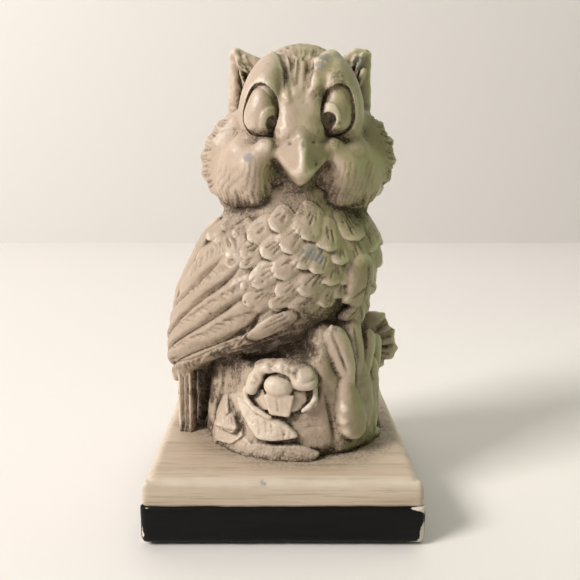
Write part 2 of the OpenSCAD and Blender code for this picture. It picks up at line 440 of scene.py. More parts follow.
def surface_faces(solid, number):
    """A four-sided face round every lattice edge that the surface cuts."""
    faces, step = [], np.eye(3, dtype=int)
    for k in range(3):
        u, v = (k + 1) % 3, (k + 2) % 3
        one, two = [slice(None)] * 3, [slice(None)] * 3
        one[k], two[k] = slice(0, -1), slice(1, None)
        here, there = solid[tuple(one)], solid[tuple(two)]
        edges = np.argwhere(here != there)
        leaving = here[tuple(edges.T)]
        ring = [edges - step[u] - step[v], edges - step[v], edges, edges - step[u]]
        quad = np.stack([number[tuple(r.T)] for r in ring], axis=1)
        quad[~leaving] = quad[~leaving][:, ::-1]
        faces.append(quad)
    return np.concatenate(faces)


def mesh_of(field, first):
    """Points in millimetres, outward normals and four-sided faces on the field's zero surface."""
    field = np.pad(field, 1, constant_values=FAR)
    first = np.array(first) - 1
    solid = field < 0
    cells, number, within = surface_cells(field, solid)
    points = LATTICE_LOW + (first + cells + within) * VOXEL
    # Two steps bring the points closer to the surface.
    normals = np.zeros((len(points), 3))
    for _ in range(2):
        for k in range(3):
            ahead = np.zeros(3)
            ahead[k] = VOXEL * 0.5
            normals[:, k] = read_at(field, first, points + ahead) - read_at(field, first, points - ahead)
        normals /= np.maximum(np.linalg.norm(normals, axis=1, keepdims=True), 1e-6)
        off = np.clip(read_at(field, first, points), -0.5 * VOXEL, 0.5 * VOXEL)
        points = points - 0.6 * off[:, None] * normals
    return points, normals, surface_faces(solid, number)


# ---------------------------------------------------------------- pieces and strokes
class Piece:
    """A meshed piece before its fine strokes.

    height is how far each point moves outward, groove how dark a stroke leaves it, closed how enclosed it
    is at three distances, and flat keeps what flattened() has worked out."""

    def __init__(self, name, points, normals, faces):
        self.name, self.points, self.normals, self.faces = name, points, normals, faces
        self.height = np.zeros(len(points))
        self.groove = np.zeros(len(points))
        self.closed = []
        self.flat = {}

    def press(self, depth, groove=None):
        """Presses the surface in by depth, and darkens it there."""
        self.height -= depth
        self.groove = np.maximum(self.groove, np.clip(depth * 2.2 if groove is None else groove, 0, 1))


pieces = {}


def keep_piece(name, clay, blend=0.0):
    """Ends a piece: blends it into what is already there, and meshes it."""
    cut = tuple(slice(a, a + n) for a, n in zip(clay.first, clay.shape))
    before = whole[cut]
    field = clay.field
    if blend:
        field = np.maximum(smooth_min(before + np.float32(SINK), field, blend), field - 1.2 * blend)
    whole[cut] = np.minimum(before, field)
    pieces[name] = Piece(name, *mesh_of(field, clay.first))


def noise(points, size, seed=0):
    """Smooth random values from -1 to 1 that depend only on the place."""
    q = points / size + seed * 17.31
    i = np.floor(q)
    f = q - i
    f = f * f * (3 - 2 * f)
    total = np.zeros(len(points))
    for corner in range(8):
        c = np.array([(corner >> k) & 1 for k in range(3)])
        wave = np.sin((i + c) @ np.array([12.9898, 78.233, 37.719])) * 43758.5453
        share = np.prod(np.where(c, f, 1 - f), axis=1)
        total += share * (wave - np.floor(wave))
    return total * 2 - 1


def step_up(x, low, high):
    t = np.clip((x - low) / (high - low), 0, 1)
    return t * t * (3 - 2 * t)


def comb(phase, sharp=3.0):
    """Narrow grooves at every whole number of phase."""
    return (0.5 + 0.5 * np.cos(2 * math.pi * phase)) ** sharp


def flattened(piece, view):
    """A piece's points on a plane seen from a direction, or on a loft's skin, and which can be seen."""
    key = id(view) if isinstance(view, Loft) else tuple(view)
    if key not in piece.flat:
        if isinstance(view, Loft):
            around, height, outward = view.skin(tuple(piece.points.T))
            piece.flat[key] = np.stack([around, height], axis=1), outward > -3.0
        else:
            right, up, toward = view_axes(view)
            flat = np.stack([piece.points @ right, piece.points @ up], axis=1)
            piece.flat[key] = flat, piece.normals @ toward > 0.05
    return piece.flat[key]


def view_axes(view):
    toward = np.array(view, float) / np.linalg.norm(view)
    right = np.cross((0, 0, 1), toward) if abs(toward[2]) < 0.9 else np.array([1.0, 0, 0])
    right = right / np.linalg.norm(right)
    return right, np.cross(toward, right), toward


def stroke(piece, path, view, width, depth, dark=None):
    """Presses a tapering line along a path.

    The path is points in space where view is a direction, and skin coordinates where it is a loft."""
    flat, seen = flattened(piece, view)
    path = np.array(path, float)
    toward, line = None, path
    if not isinstance(view, Loft):
        right, up, toward = view_axes(view)
        line = np.stack([path @ right, path @ up], axis=1)
    reach = 2.6 * width
    near = np.flatnonzero(seen & np.all((flat > line.min(0) - reach) & (flat < line.max(0) + reach), axis=1))
    if toward is not None:
        level = piece.points[near] @ toward
        levels = path @ toward
        near = near[(level > levels.min() - 4) & (level < levels.max() + 4)]
    if not len(near):
        return
    p = flat[near]
    best, place = np.full(len(near), 1e9), np.zeros(len(near))
    lengths = np.linalg.norm(np.diff(line, axis=0), axis=1)
    run = np.concatenate([[0], np.cumsum(lengths)])
    for k in range(len(line) - 1):
        way = line[k + 1] - line[k]
        t = np.clip((p - line[k]) @ way / max(way @ way, 1e-9), 0, 1)
        d = np.sqrt(((p - line[k] - t[:, None] * way) ** 2).sum(1))
        closer = d < best
        best[closer] = d[closer]
        place[closer] = ((run[k] + t * lengths[k]) / run[-1])[closer]
    taper = np.minimum(1, 5 * np.minimum(place, 1 - place) + 0.2)
    share = taper * np.exp(-(best / width) ** 2)
    piece.height[near] -= depth * share
    dark = min(1, depth * 2.0) if dark is None else dark
    piece.groove[near] = np.maximum(piece.groove[near], share * dark)


def fringe(names, starts, ends, count, view, width, depth, curl=0.12, seed=0, dark=None):
    """Hand-cut strokes side by side, from points along one path to points along another."""
    rng = np.random.default_rng(seed)
    starts, ends = curve(*starts), curve(*ends)
    for i in range(count):
        t = (i + 0.5 + rng.uniform(-0.35, 0.35)) / count
        a, b = along_path(starts, t), along_path(ends, t + rng.uniform(-0.3, 0.3) / count)
        way = b - a
        first, last = rng.uniform(0, 0.3), rng.uniform(0.75, 1.05)
        if isinstance(view, Loft):
            bow = np.array([-way[1], way[0]]) * (curl + rng.uniform(-0.06, 0.06))
        else:
            bow = np.cross(view_axes(view)[2], way) * (curl + rng.uniform(-0.06, 0.06))
        path = [a + way * f + bow * math.sin(f * math.pi) for f in np.linspace(first, last, 5)]
        thick, deep = width * rng.uniform(0.7, 1.25), depth * rng.uniform(0.55, 1.15)
        for name in names:
            stroke(pieces[name], path, view, thick, deep, dark)


def along_path(path, t):
    """The place a share t of the way along a path's points."""
    t = min(max(t, 0), 1) * (len(path) - 1)
    i = min(int(t), len(path) - 2)
    return path[i] + (path[i + 1] - path[i]) * (t - i)


def curve(*points, count=10):
    """A smooth path through a few points."""
    points = np.array(points, float)
    if len(points) == 2:
        return points
    t = np.linspace(0, len(points) - 1, count)
    padded = np.vstack([2 * points[0] - points[1], points, 2 * points[-1] - points[-2]])
    out = []
    for value in t:
        i = min(int(value), len(points) - 2)
        f = value - i
        a, b, c, d = padded[i:i + 4]
        out.append(0.5 * (2 * b + (c - a) * f + (2 * a - 5 * b + 4 * c - d) * f ** 2
                          + (3 * b - a - 3 * c + d) * f ** 3))
    return np.array(out)


# ---------------------------------------------------------------- the owl's body
# Height, centre x, centre y, radius x, radius y of the body with its wings folded.
BODY = Loft([(84, 3.5, 1.0, 19.0, 15.0), (80, 3.4, 0.8, 21.0, 16.8), (76, 3.2, 0.5, 23.3, 18.8),
             (70, 2.2, 0.0, 25.0, 20.6), (64, 0.3, 0.0, 26.0, 21.2), (58, -2.0, 0.3, 26.5, 20.6),
             (52, -4.0, 0.8, 26.6, 19.3), (46, -7.0, 1.0, 25.0, 17.0), (40, -12.0, 1.5, 20.5, 13.0),
             (35, -16.0, 1.5, 15.0, 9.0)], round_mm=23.0)


def body_clay():
    clay = Clay((-36, -24, 36), (32, 26, 92))
    _, height, outward = BODY.skin(clay.all_points())
    taper = np.clip((54 - height) / 14, 0, 1) * 2.2    # the belly draws in above the stump
    clay.field = smooth_max(outward + np.float32(0.5) + taper, height - 90, 4)
    clay.field = smooth_max(clay.field, 40 - height, 5)
    return clay


# Breast scales: x, height and width of each.
SCALES = ((-0.2, 80.7, 5.6), (7.2, 79.9, 7.8), (17.4, 79.2, 7.4), (22.6, 75.4, 6.6), (-10.2, 77.8, 4.2),
          (-5.4, 78.0, 5.9), (11.8, 76.4, 6.2), (3.0, 76.2, 6.7), (-1.9, 73.9, 5.5), (-7.3, 73.5, 5.4),
          (-11.8, 72.5, 4.0), (19.2, 71.6, 7.4), (14.8, 72.0, 4.8), (6.0, 71.8, 5.8), (9.9, 70.5, 5.8),
          (-8.2, 70.0, 3.4), (1.6, 69.6, 6.5), (12.9, 67.1, 5.4), (-3.8, 67.1, 6.5), (17.0, 66.6, 5.0),
          (7.9, 64.9, 6.3), (1.9, 63.7, 5.4), (-8.0, 64.6, 3.6), (-5.7, 61.6, 5.8), (0.0, 60.2, 4.9),
          (6.6, 59.6, 7.2), (11.8, 61.0, 5.0), (15.2, 62.6, 4.4))


def scale_places():
    """Skin coordinates, width and lean of each breast scale, upper ones last."""
    places = []
    for x, z, width in sorted(SCALES, key=lambda row: row[1]):
        centre_x, _, radius_x, _ = [float(v) for v in BODY.section(z)]
        around = math.asin((x - centre_x) / radius_x) * BODY.round_mm
        lean = np.interp(x, (-12, 0, 8, 12, 18, 24), (-48, -38, -28, -8, 16, 26))
        places.append((around, z, width, math.radians(lean)))
    return places


def breast_scale(around, z, width, lean):
    """A rounded tile whose lower end stands proud."""
    way = np.array([math.sin(lean), -math.cos(lean), 0])
    tip = np.array([around, z, -0.9]) + way * width * 0.58
    long = width * np.interp(z, (72, 78), (1.6, 1.2))
    return leaf(tip - way * long, tip, width * 1.25, 0.95, SKIN_OUT, root=0.2, point=0.22, lift=1.6)


# Long feathers of the folded right wing, in skin coordinates: start, end and width.
WING_FEATHERS = (((-13, 75.5), (-37, 59), 9.0), ((-10.5, 71.0), (-38.0, 48.5), 8.4),
                 ((-6.5, 65.0), (-37.5, 42), 7.8), ((-0.5, 59.2), (-36.0, 37), 8.6),
                 ((-0.5, 50.0), (-33.0, 32.0), 5.4))
SHORT_FEATHER = ((6.6, 57.8), (-4.4, 49.6), 5.8)
SHORT_FEATHER_OUTLINE = ((-0.6, 58.0), (4.6, 57.2), (6.0, 54.2), (2.6, 50.4), (-0.8, 48.2), (-3.9, 50.3),
                         (-2.8, 55.5), (-0.6, 58.0))
# Deep cuts under each long feather, and where the barbs of its upper half start and end.
WING_CUTS = (((-17.4, 70.6), (-22.4, 64.2), (-28.0, 58.0), (-36, 52)),
             ((-11.0, 69.8), (-13.6, 64.6), (-18.9, 59.0), (-23.2, 53.8), (-29.0, 47.6), (-37, 42)),
             ((-6.9, 61.6), (-9.1, 59.1), (-13.1, 54.7), (-17.9, 50.0), (-27.0, 43.3), (-36, 38.5)),
             ((-0.8, 58.4), (-3.1, 55.1), (-4.0, 52.1), (-7.7, 48.7), (-13.4, 44.2), (-21.7, 39.3),
              (-33, 36)))
WING_BARBS = ((((-14.0, 73.0), (-20.5, 69.5), (-27.0, 63.0)),
               ((-17.0, 76.0), (-24.0, 73.5), (-31.0, 67.0)), 13),
              (((-12.0, 69.2), (-16.4, 65.6), (-21.2, 61.2), (-27, 56.4)),
               ((-15.2, 70.6), (-19.6, 66.4), (-24.8, 61.6), (-30, 56.4)), 16),
              (((-7.0, 63.2), (-11.6, 59.6), (-15.5, 55.4), (-22.5, 49.6)),
               ((-10.2, 64.4), (-14.6, 60.2), (-19.4, 55.2), (-26.5, 49.2)), 17),
              (((-2.0, 56.0), (-7.6, 52.8), (-13.0, 48.4), (-22, 42.4)),
               ((-5.6, 57.2), (-11.4, 53.2), (-17.0, 48.4), (-26.5, 42.4)), 18))
# The fringe at the wing's lower edge, in the same way.
WING_FRINGE = (((-3.4, 49.4), (-8.7, 46.2), (-14.5, 41.2), (-21.8, 38.6), (-28, 36.6)),
               ((-4.6, 46.6), (-9.6, 42.8), (-15.4, 37.8), (-22.6, 35.4), (-28.8, 34.0)), 17)


def wing_shapes():
    shapes = []
    for start, end, width in WING_FEATHERS:
        shapes.append(leaf((*start, -0.4), (*end, 0.0), width * 1.25, 1.35, SKIN_OUT, root=0.15, point=0.3))
    start, end, width = SHORT_FEATHER
    shapes.append(leaf((*start, -0.1), (*end, 0.9), width, 1.5, SKIN_OUT, root=0.35, point=0.3))
    for i in range(4):
        # The wing's far edge and the back, seen from the side: the long feathers go on towards the tail.
        start, end = (-30 - 6 * i, 79 - 2 * i, 0.0), (-47 - 4.5 * i, 44 - 1.5 * i, 0.6)
        shapes.append(leaf(start, end, 8.0, 1.8, SKIN_OUT, root=0.25, point=0.3))
    for around, z, width in ((-20.5, 79.6, 4.6), (-26.5, 77.0, 5.0), (-15.4, 76.0, 3.6), (-20.6, 74.6, 4.0),
                             (-33, 74, 5.4), (-27, 70.5, 4.6)):
        shapes.append(breast_scale(around, z, width, math.radians(-50)))
    return shapes


def wing_slab(clay, edge_low, edge_high, mirror):
    """The wing's solid under its feathers: a layer of the body's skin behind a slanting front edge."""
    around, height, outward = BODY.skin(clay.all_points())
    around = around * -mirror                     # the wing's side is positive
    front = edge_low + (height - 46) * (edge_high - edge_low) / 34 - around
    layer = np.maximum(outward + 0.1, -(outward + 5))
    rim = smooth_max(front * 0.8, height - 80 + np.abs(around - 24) * 0.25, 3)
    bottom = 39.5 - height + np.clip(around - 12, -20, 6) * -0.6
    back = around - 60
    return smooth_max(smooth_max(layer, rim, 2), smooth_max(bottom, back, 3), 2)


def right_wing_clay():
    clay = Clay((-36, -24, 30), (12, 20, 86))
    clay.field = wing_slab(clay, 6, 19, 1)
    return clay.add_on_skin(BODY, wing_shapes(), 0.25)


def left_wing_clay():
    clay = Clay((8, -20, 40), (32, 24, 86))
    clay.field = wing_slab(clay, 22, 26, -1)
    shapes = []
    for row in range(5):
        for k in range(5):
            around, z = 27 + 8.4 * k + (row % 2) * 4.2, 77.5 - 6.6 * row - k
            shapes.append(breast_scale(around, z, 7.6 + 0.3 * row, math.radians(14 + 5 * k)))
    clay.add_on_skin(BODY, shapes)
    return clay.keep_above(45, 2)


def tail_clay():
    clay = Clay((-36, -14, 14), (-12, 14, 46))
    for x, width in ((-28.9, 1.8), (-27.7, 1.8), (-26.3, 2.6)):
        y = -4.8 - 0.25 * (x + 29.5)
        start, end = (x - 0.3, y + 3.4, 48), (x, y + 0.6, 12)
        clay.add(leaf(start, end, width, 2.2, (-0.2, -1, 0.1), root=0.08, point=0.08), 0.15)
    clay.add_limbs((((-27.2, 1.5, 42), (-27.6, 0.8, 16), 2.4, 2.0, 1.0),
                    ((-22.4, 7.5, 44), (-22.4, 6.5, 15), 4.0, 3.8, 1.0)))
    for i in range(4):
        x = -27.0 + 2.6 * i
        clay.add(leaf((x, 9.5, 46), (x - 0.6, 8.4, 12), 3.4, 2.4, (-0.4, 1, 0), root=0.08, point=0.08), 0.2)
    return clay.keep_above(TOP_Z - 0.3)


# ---------------------------------------------------------------- the head
# The owl's right eye and left eye: middles of the egg's lower and upper parts, its turn about the upright
# axis, the pupil's middle and radius, the iris rim's radii across and up, and where the pupil's pit opens to.
EYES = {-1: dict(low=(-5.7, -14.5, 105.6), high=(-4.9, -13.7, 109.8), turn=-20, pupil=(-2.2, -17.2, 104.1),
                 pupil_r=2.1, iris=(3.7, 4.1), out=(1.6, -2.0)),
        1: dict(low=(13.3, -14.2, 105.8), high=(13.6, -13.2, 110.0), turn=16, pupil=(11.3, -16.6, 104.9),
                pupil_r=2.1, iris=(3.2, 4.4), out=(-0.8, -1.0))}
EYE_FLOOR = 1.1                                  # depth of the openings, millimetres


def eye_form(eye, grow, deep, back=0.0):
    """An egg, narrower at its top, that stands for an eyeball or for the opening round it."""
    turn = (0, 0, eye["turn"])
    low_at, high_at = np.array(eye["low"]) + (0, back, 0), np.array(eye["high"]) + (0, back, 0)
    lower = ball(low_at, (4.2 + grow, deep, 4.2 + grow), turn)
    upper = ball(high_at, (3.2 + grow, deep, 3.9 + grow), turn)
    low, high = np.minimum(lower.low, upper.low), np.maximum(lower.high, upper.high)
    return Shape(low, high, lambda q: smooth_min(lower.distance(q), upper.distance(q), 3.0))


def head_clay():
    clay = Clay((-26, -30, 76), (36, 24, 128))
    clay.add(ball((4.6, 3.8, 102.5), (16.6, 16.2, 20.6)))
    clay.add(ball((4.4, 1.5, 88), (16.0, 13.5, 8)), 4)
    # Brow domes.
    clay.add(ball((-4.5, -5.6, 109.6), (6.7, 11.3, 12.9), (0, 14, 0)), 1.2)
    clay.add(ball((14.0, -5.4, 109.9), (6.9, 11.2, 13.0), (0, -13, 0)), 1.2)
    # The forehead runs from the crest down to the bridge of the beak.
    for x in (FACE_X - 2.6, FACE_X + 0.3, FACE_X + 2.6):
        clay.add_limbs((((x, -1.0, 121.6), (x, -8.2, 118.2), 2.6, 2.6, 1.6),
                        ((x, -8.2, 118.2), (x, -12.7, 110), 2.6, 3.0, 1.6),
                        ((x, -12.7, 110), (x, -15.0, 102), 3.0, 3.8, 1.6)))
    # The domes' inner rims: a thin one at the owl's right, and a thick folded one at its left.
    clay.add_limbs((((-2.9, -8.8, 121.2), (-0.2, -12.6, 117), 0.9, 0.9, 0.8),
                    ((-0.2, -12.6, 117), (1.2, -15.6, 109.5), 0.9, 0.9, 0.8),
                    ((12.4, -8.6, 120.6), (9.6, -11.6, 117.8), 1.9, 2.2, 1.6),
                    ((9.6, -11.6, 117.8), (8.2, -13.8, 113.5), 2.2, 1.9, 1.6),
                    ((8.2, -13.8, 113.5), (7.7, -15.4, 106.5), 1.9, 2.0, 1.2)))
    # Flutes between the forehead's ridges.
    for path, radius in ((((-0.2, -9.2, 122.0), (0.9, -12.6, 118.0), (2.2, -16.0, 111.5)), 1.05),
                         (((5.9, -9.4, 122.2), (6.6, -12.6, 118.2), (6.4, -15.4, 113.0)), 1.0),
                         (((2.0, -8.5, 121.8), (2.4, -12.3, 117.6), (3.0, -14.6, 113.5)), 0.55)):
        for a, b, r0, r1 in ((path[0], path[1], radius, radius), (path[1], path[2], radius, 0.3)):
            clay.cut(limb(a, b, r0, r1), 0.6)
    add_cheeks(clay)
    clay.add(ball((FACE_X, -5.4, 87.0), (8.6, 8.0, 11)), 1.2)
    open_eyes(clay)
    return clay


def add_cheeks(clay):
    """An outer ball, and a ridge that runs from the eye's inner corner down and outward."""
    for side, x in ((-1, -9.0), (1, 17.2)):
        clay.add(ball((x, -4.4, 92.2), (8.8, 10.6, 9.9)), 2.5)
        inner = FACE_X + side * 8.3
        corner, foot = (inner + side * 3.7, -13.4, 93.8), (inner + side * 3.4, -10.8, 87.6)
        clay.add_limbs((((inner, -14.6, 97.8), corner, 3.0, 3.9, 1.5),
                        (corner, foot, 3.9, 4.3, 2.0),
                        ((inner + side * 1.2, -9.5, 94.0), (inner + side * 1.0, -8.2, 87.4), 4.6, 4.6, 1.5),
                        ((inner + side * 6.0, -10.0, 96.5), (inner + side * 8.0, -7.2, 88), 4.0, 5.0, 2.5)))


def open_eyes(clay):
    """Each eye's opening has a floor, so that a shallow ring shows round the eyeball."""
    points, uncut = clay.all_points(), clay.field.copy()
    for eye in EYES.values():
        opening = smooth_max(eye_form(eye, 0.5, 4.6).distance(points), -(uncut + EYE_FLOOR), 0.2)
        clay.field = smooth_max(clay.field, -opening, 0.2)


def eye_clay(side):
    """An eyeball with a raised iris rim round a sunken pupil, which looks down towards the beak."""
    eye = EYES[side]
    x = eye["low"][0]
    clay = Clay((x - 8, -24, 97), (x + 8, -4, 118))
    clay.add(eye_form(eye, 0.08, 3.7, 1.2))
    points = clay.all_points()
    pupil, r = np.array(eye["pupil"], np.float32), eye["pupil_r"]
    across, up = eye["iris"]
    ring = (np.hypot((points[0] - pupil[0]) / across, (points[2] - pupil[2]) / up) - 1) * min(across, up)
    ring = smooth_max(ring.astype(np.float32), eye_form(eye, 0.5, 4.1, 1.3).distance(points), 0.3)
    clay.field = np.minimum(clay.field, ring)
    out = np.array([eye["out"][0], 0, eye["out"][1]])
    clay.cut(limb(pupil + (0, -1.5, 0), pupil + out + (0, -1.5, 0), r + 0.3, r + 0.3), 0.2)
    clay.cut(limb(pupil + (0, 0.9, 0), pupil + out + (0, 0.9, 0), r - 0.1, r - 0.1), 0.2)
    clay.field = smooth_max(clay.field, eye_form(eye, 0.25, 12.0).distance(points), 0.3)
    return clay


def beak_clay():
    clay = Clay((-6, -30, 86), (16, -8, 110))
    top, tip = (FACE_X + 0.3, -17.6, 103.4), (FACE_X + 0.5, -26.4, 88.9)
    ridge = (FACE_X + 0.5, -24.2, 97.2)
    right, left = (-2.6, -16.4, 97.0), (12.8, -16.4, 97.2)
    back = (FACE_X, -12, 87.4)
    form = facets([(ridge, right, tip), (ridge, tip, left), (top, right, ridge), (top, ridge, left),
                   (tip, right, back), (tip, back, left)], 1.3)
    points = clay.all_points()
    whole_ball = ball((FACE_X + 0.4, -14.0, 98.0), (8.8, 13.4, 9.4)).distance(points)
    clay.field = smooth_max(form.distance(points), whole_ball, 1.2)
    return clay


# Each ear tuft, the owl's right one and its left: its middle, rims, hollow, and the curls in the hollow.
EARS = {-1: dict(box=((-18, -8, 100), (0, 14, 127)), middle=(-8.6, 6.0, 112.5),
                 rims=(((-12.8, 2.4, 122.8), (-12.3, 2.6, 108), 1.6, 2.6, 1.0),
                       ((-12.2, 2.6, 123.2), (-6.8, 1.8, 119.8), 1.5, 2.5, 1.0)),
                 hollow=((-9.4, -3.4, 116.8), (2.2, 3.2, 4.6), (0, 10, 0)),
                 curls=(((-12.6, 0.4, 123.2), (-8.8, -0.4, 117.2), 0.9, 0.4, 0.5),
                        ((-11.8, 0.2, 121.4), (-9.9, -0.2, 113.5), 0.8, 0.4, 0.5),
                        ((-10.2, 0.4, 121.8), (-7.4, -0.4, 117.4), 0.8, 0.4, 0.5))),
        1: dict(box=((10, -8, 100), (30, 14, 127)), middle=(17.6, 6.0, 112.5),
                rims=(((21.9, 2.4, 122.2), (21.7, 2.8, 108), 2.1, 2.6, 1.0),
                      ((19.9, 2.4, 123.1), (22.2, 2.4, 122.8), 1.7, 1.6, 1.0),
                      ((19.9, 2.0, 122.8), (15.0, 1.2, 118.8), 1.5, 2.5, 1.0)),
                hollow=((18.4, -3.6, 116.8), (2.0, 3.2, 4.8), (0, -8, 0)),
                curls=(((21.4, 0.2, 122.6), (18.8, -0.6, 115.6), 0.9, 0.4, 0.5),
                       ((19.6, 0.2, 122.2), (17.4, -0.6, 117.4), 0.8, 0.4, 0.5),
                       ((21.8, 0.0, 118.6), (19.6, -0.4, 112.0), 0.8, 0.4, 0.5)))}


def ear_clay(side):
    ear = EARS[side]
    clay = Clay(*ear["box"])
    clay.add(ball(ear["middle"], (5.6, 4.6, 11.0)))
    clay.add_limbs(ear["rims"])
    clay.cut(ball(*ear["hollow"]), 1.4)
    return clay.add_limbs(ear["curls"])


# Each ruff: where its plumes start, its middle, and where each plume ends as x and z.
RUFFS = {-1: dict(box=((-26, -14, 78), (4, 12, 112)), root=(-6.5, -1.5, 95.0), middle=(-9.0, 0.2, 95.2),
                  tips=((-13.6, 107.0), (-16.9, 104.0), (-19.6, 100.3), (-21.3, 96.2), (-21.4, 91.6),
                        (-19.2, 87.4), (-16.0, 84.4))),
         1: dict(box=((6, -14, 78), (36, 12, 112)), root=(15.4, -1.5, 95.0), middle=(17.8, 0.2, 95.2),
                 tips=((22.6, 107.4), (26.4, 104.2), (29.2, 100.0), (30.2, 95.2), (29.0, 90.6),
                       (26.2, 87.0), (22.8, 83.8)))}


def ruff_clay(side):
    ruff = RUFFS[side]
    clay = Clay(*ruff["box"])
    clay.add(ball(ruff["middle"], (12.2, 6.6, 12.8)))
    for x, z in ruff["tips"]:
        clay.add(leaf(ruff["root"], (x, 0.4, z), 9.6, 4.6, (side * 0.25, -1, 0), root=0.8, point=0.34), 2.8)
    return clay


def crown_clay():
    clay = Clay((-6, -14, 108), (18, 14, 128))
    clay.add(ball((5.2, 1.8, 114.5), (12.6, 10.2, 11.3)))
    for i in range(7):
        angle = math.radians(-50 + i * 17 + 4 * math.sin(2.7 * i))
        at = np.array([5.2 + 10.6 * math.sin(angle), -4.4, 114.2 + 11.1 * math.cos(angle)])
        clay.cut(limb(at, at + (0, 5, 1.5), 0.6, 0.3), 0.3)
    return clay


# ---------------------------------------------------------------- the stump and its carving
STUMP = Loft([(14, AXIS_X, AXIS_Y, 25.0, 25.0), (20, AXIS_X, AXIS_Y, 25.0, 25.0),
              (30, AXIS_X, AXIS_Y, 24.2, 23.6), (40, AXIS_X, AXIS_Y, 22.4, 22.0),
              (46, AXIS_X - 1, AXIS_Y, 20.0, 19.0), (52, AXIS_X - 2, AXIS_Y, 17, 15)], round_mm=24.0)


def on_stump(degrees, z, outward=0.0):
    """Skin coordinates of a place at an angle from the stump's front."""
    return (math.radians(degrees) * STUMP.round_mm, z, outward)


# The bark's ridges: the angle of each one's foot, and how far its top leans from there, in degrees.
BARK = ((60, -3), (78, 3), (97, -4), (118, 4), (137, -2), (155, 5), (174, -3), (-168, 4), (-149, -4),
        (-131, 3), (-112, -3), (-94, 4), (-76, 2))


def stump_clay():
    clay = Clay((-28, -30, 14), (36, 30, 58))
    _, height, outward = STUMP.skin(clay.all_points())
    clay.field = smooth_max(outward + 1.2, height - 47, 5)
    bark = [leaf(on_stump(angle, 15, -1.0), on_stump(angle + lean, 49, -1.5), 8.5, 2.0, SKIN_OUT,
                 root=0.12, point=0.25) for angle, lean in BARK]
    clay.add_on_skin(STUMP, bark, 0.8)
    # The slab at the right of the rose, and the flat faces below and beside it.
    clay.add_limbs((((10.8, -13.8, 49), (9.4, -16.2, 40), 4.5, 4.0, 3),
                    ((17.4, -10.5, 51.5), (20, -12, 30), 4.0, 5.0, 3)))
    clay.add_on_skin(STUMP, [chip_form(corners, 1.8) for corners in SLAB_FACES], 1.6)
    # Two caves under the body, the hollow that the rose sits in, and the recess by the hanging leaf.
    clay.cut(ball((-8.5, -15.5, 45.0), (10.5, 7.0, 3.9), (0, 18, 0)), 1.5)
    clay.cut(ball((1.5, -19.4, 46.8), (8.0, 5.8, 3.6), (0, 10, 0)), 1.2)
    clay.cut(ball((-0.9, -23.0, 36.6), (9.9, 5.4, 7.6)), 1.0)
    clay.cut(ball((14.8, -16.5, 55.5), (2.6, 4.5, 3.0)), 0.8)
    return clay.keep_above(TOP_Z - 0.3)


# Flat-topped forms of the carving, in the stump's skin coordinates. First the slab at the right of the rose.
SLAB_FACES = (((6.2, 43.0, -1.2), (9.8, 42.5, -0.4), (10.0, 33.0, 0.0), (6.0, 33.0, -0.6)),
              ((-1.0, 28.4, -0.9), (4.4, 31.8, -0.6), (9.6, 35.0, -0.8), (10.6, 20.0, 0.2),
               (2.4, 20.0, 0.7), (-0.6, 24.4, 0)),
              ((10.2, 42.0, -0.6), (15.0, 41.0, 0.2), (24.0, 38.0, 0.2), (24.0, 18.0, 0.6),
               (11.0, 18.0, 0.8)))
# The shelf and the lumps at the left of the rose.
SHELF_FACES = (((-30.0, 33.8, -2.6), (-16.2, 38.6, -3.2), (-15.2, 32.6, -1.0), (-21.0, 31.2, -0.4),
                (-29.0, 27.0, -1.4)),
               ((-24.0, 31.6, -0.9), (-15.0, 34.4, -1.0), (-12.0, 27.0, -0.6), (-9.0, 21.0, -0.1),
                (-16.0, 20.0, -0.4)))
LUMP_FACES = (((-30.8, 27.6, -2.2), (-22.6, 31.8, -0.5), (-18.7, 28.6, 1.1), (-22.0, 23.2, 1.5),
               (-28.8, 24.4, -0.2)),
              ((-22.6, 31.0, -1.4), (-18.7, 29.0, 0.2), (-15.3, 25.4, 1.0), (-16.2, 23.2, 2.4),
               (-23.4, 23.0, 2.7)),
              ((-23.6, 23.4, -0.2), (-15.4, 25.0, -0.6), (-14.0, 22.6, 0.4), (-17.2, 19.6, 1.8),
               (-23.0, 18.6, 2.0)),
              ((-31.4, 24.4, -1.6), (-23.2, 24.0, 0.6), (-22.6, 17.4, 2.0), (-30.2, 17.2, 0.6)),
              ((-17.6, 20.4, 0.9), (-14.0, 22.4, -0.2), (-10.4, 20.0, 0.7), (-12.8, 16.4, 2.2),
               (-17.6, 16.6, 1.8)),
              ((-24.0, 20.0, 0.9), (-17.0, 19.6, 1.3), (-15.0, 16.4, 1.9), (-24.0, 16.4, 1.8)))
# The ledge under the rose's leaf, and the leaf itself.
FOOT_FACE = ((-11.8, 21.2, -0.2), (-6.0, 21.9, 0.3), (2.4, 21.8, 0.3), (6.6, 19.4, 0.8), (3.4, 16.6, 1.6),
             (-4.3, 16.0, 2.0), (-12.6, 16.4, 1.6))
WEDGE_FACE = ((-20.4, 31.9, -1.2), (-15.4, 31.5, 0.0), (-10.7, 31.0, 0.3), (-6.4, 29.3, 0.6),
              (-1.4, 27.0, 1.1), (1.0, 24.3, 1.5), (-4.3, 23.0, 2.1), (-9.9, 22.6, 2.1), (-13.2, 26.0, 1.2))
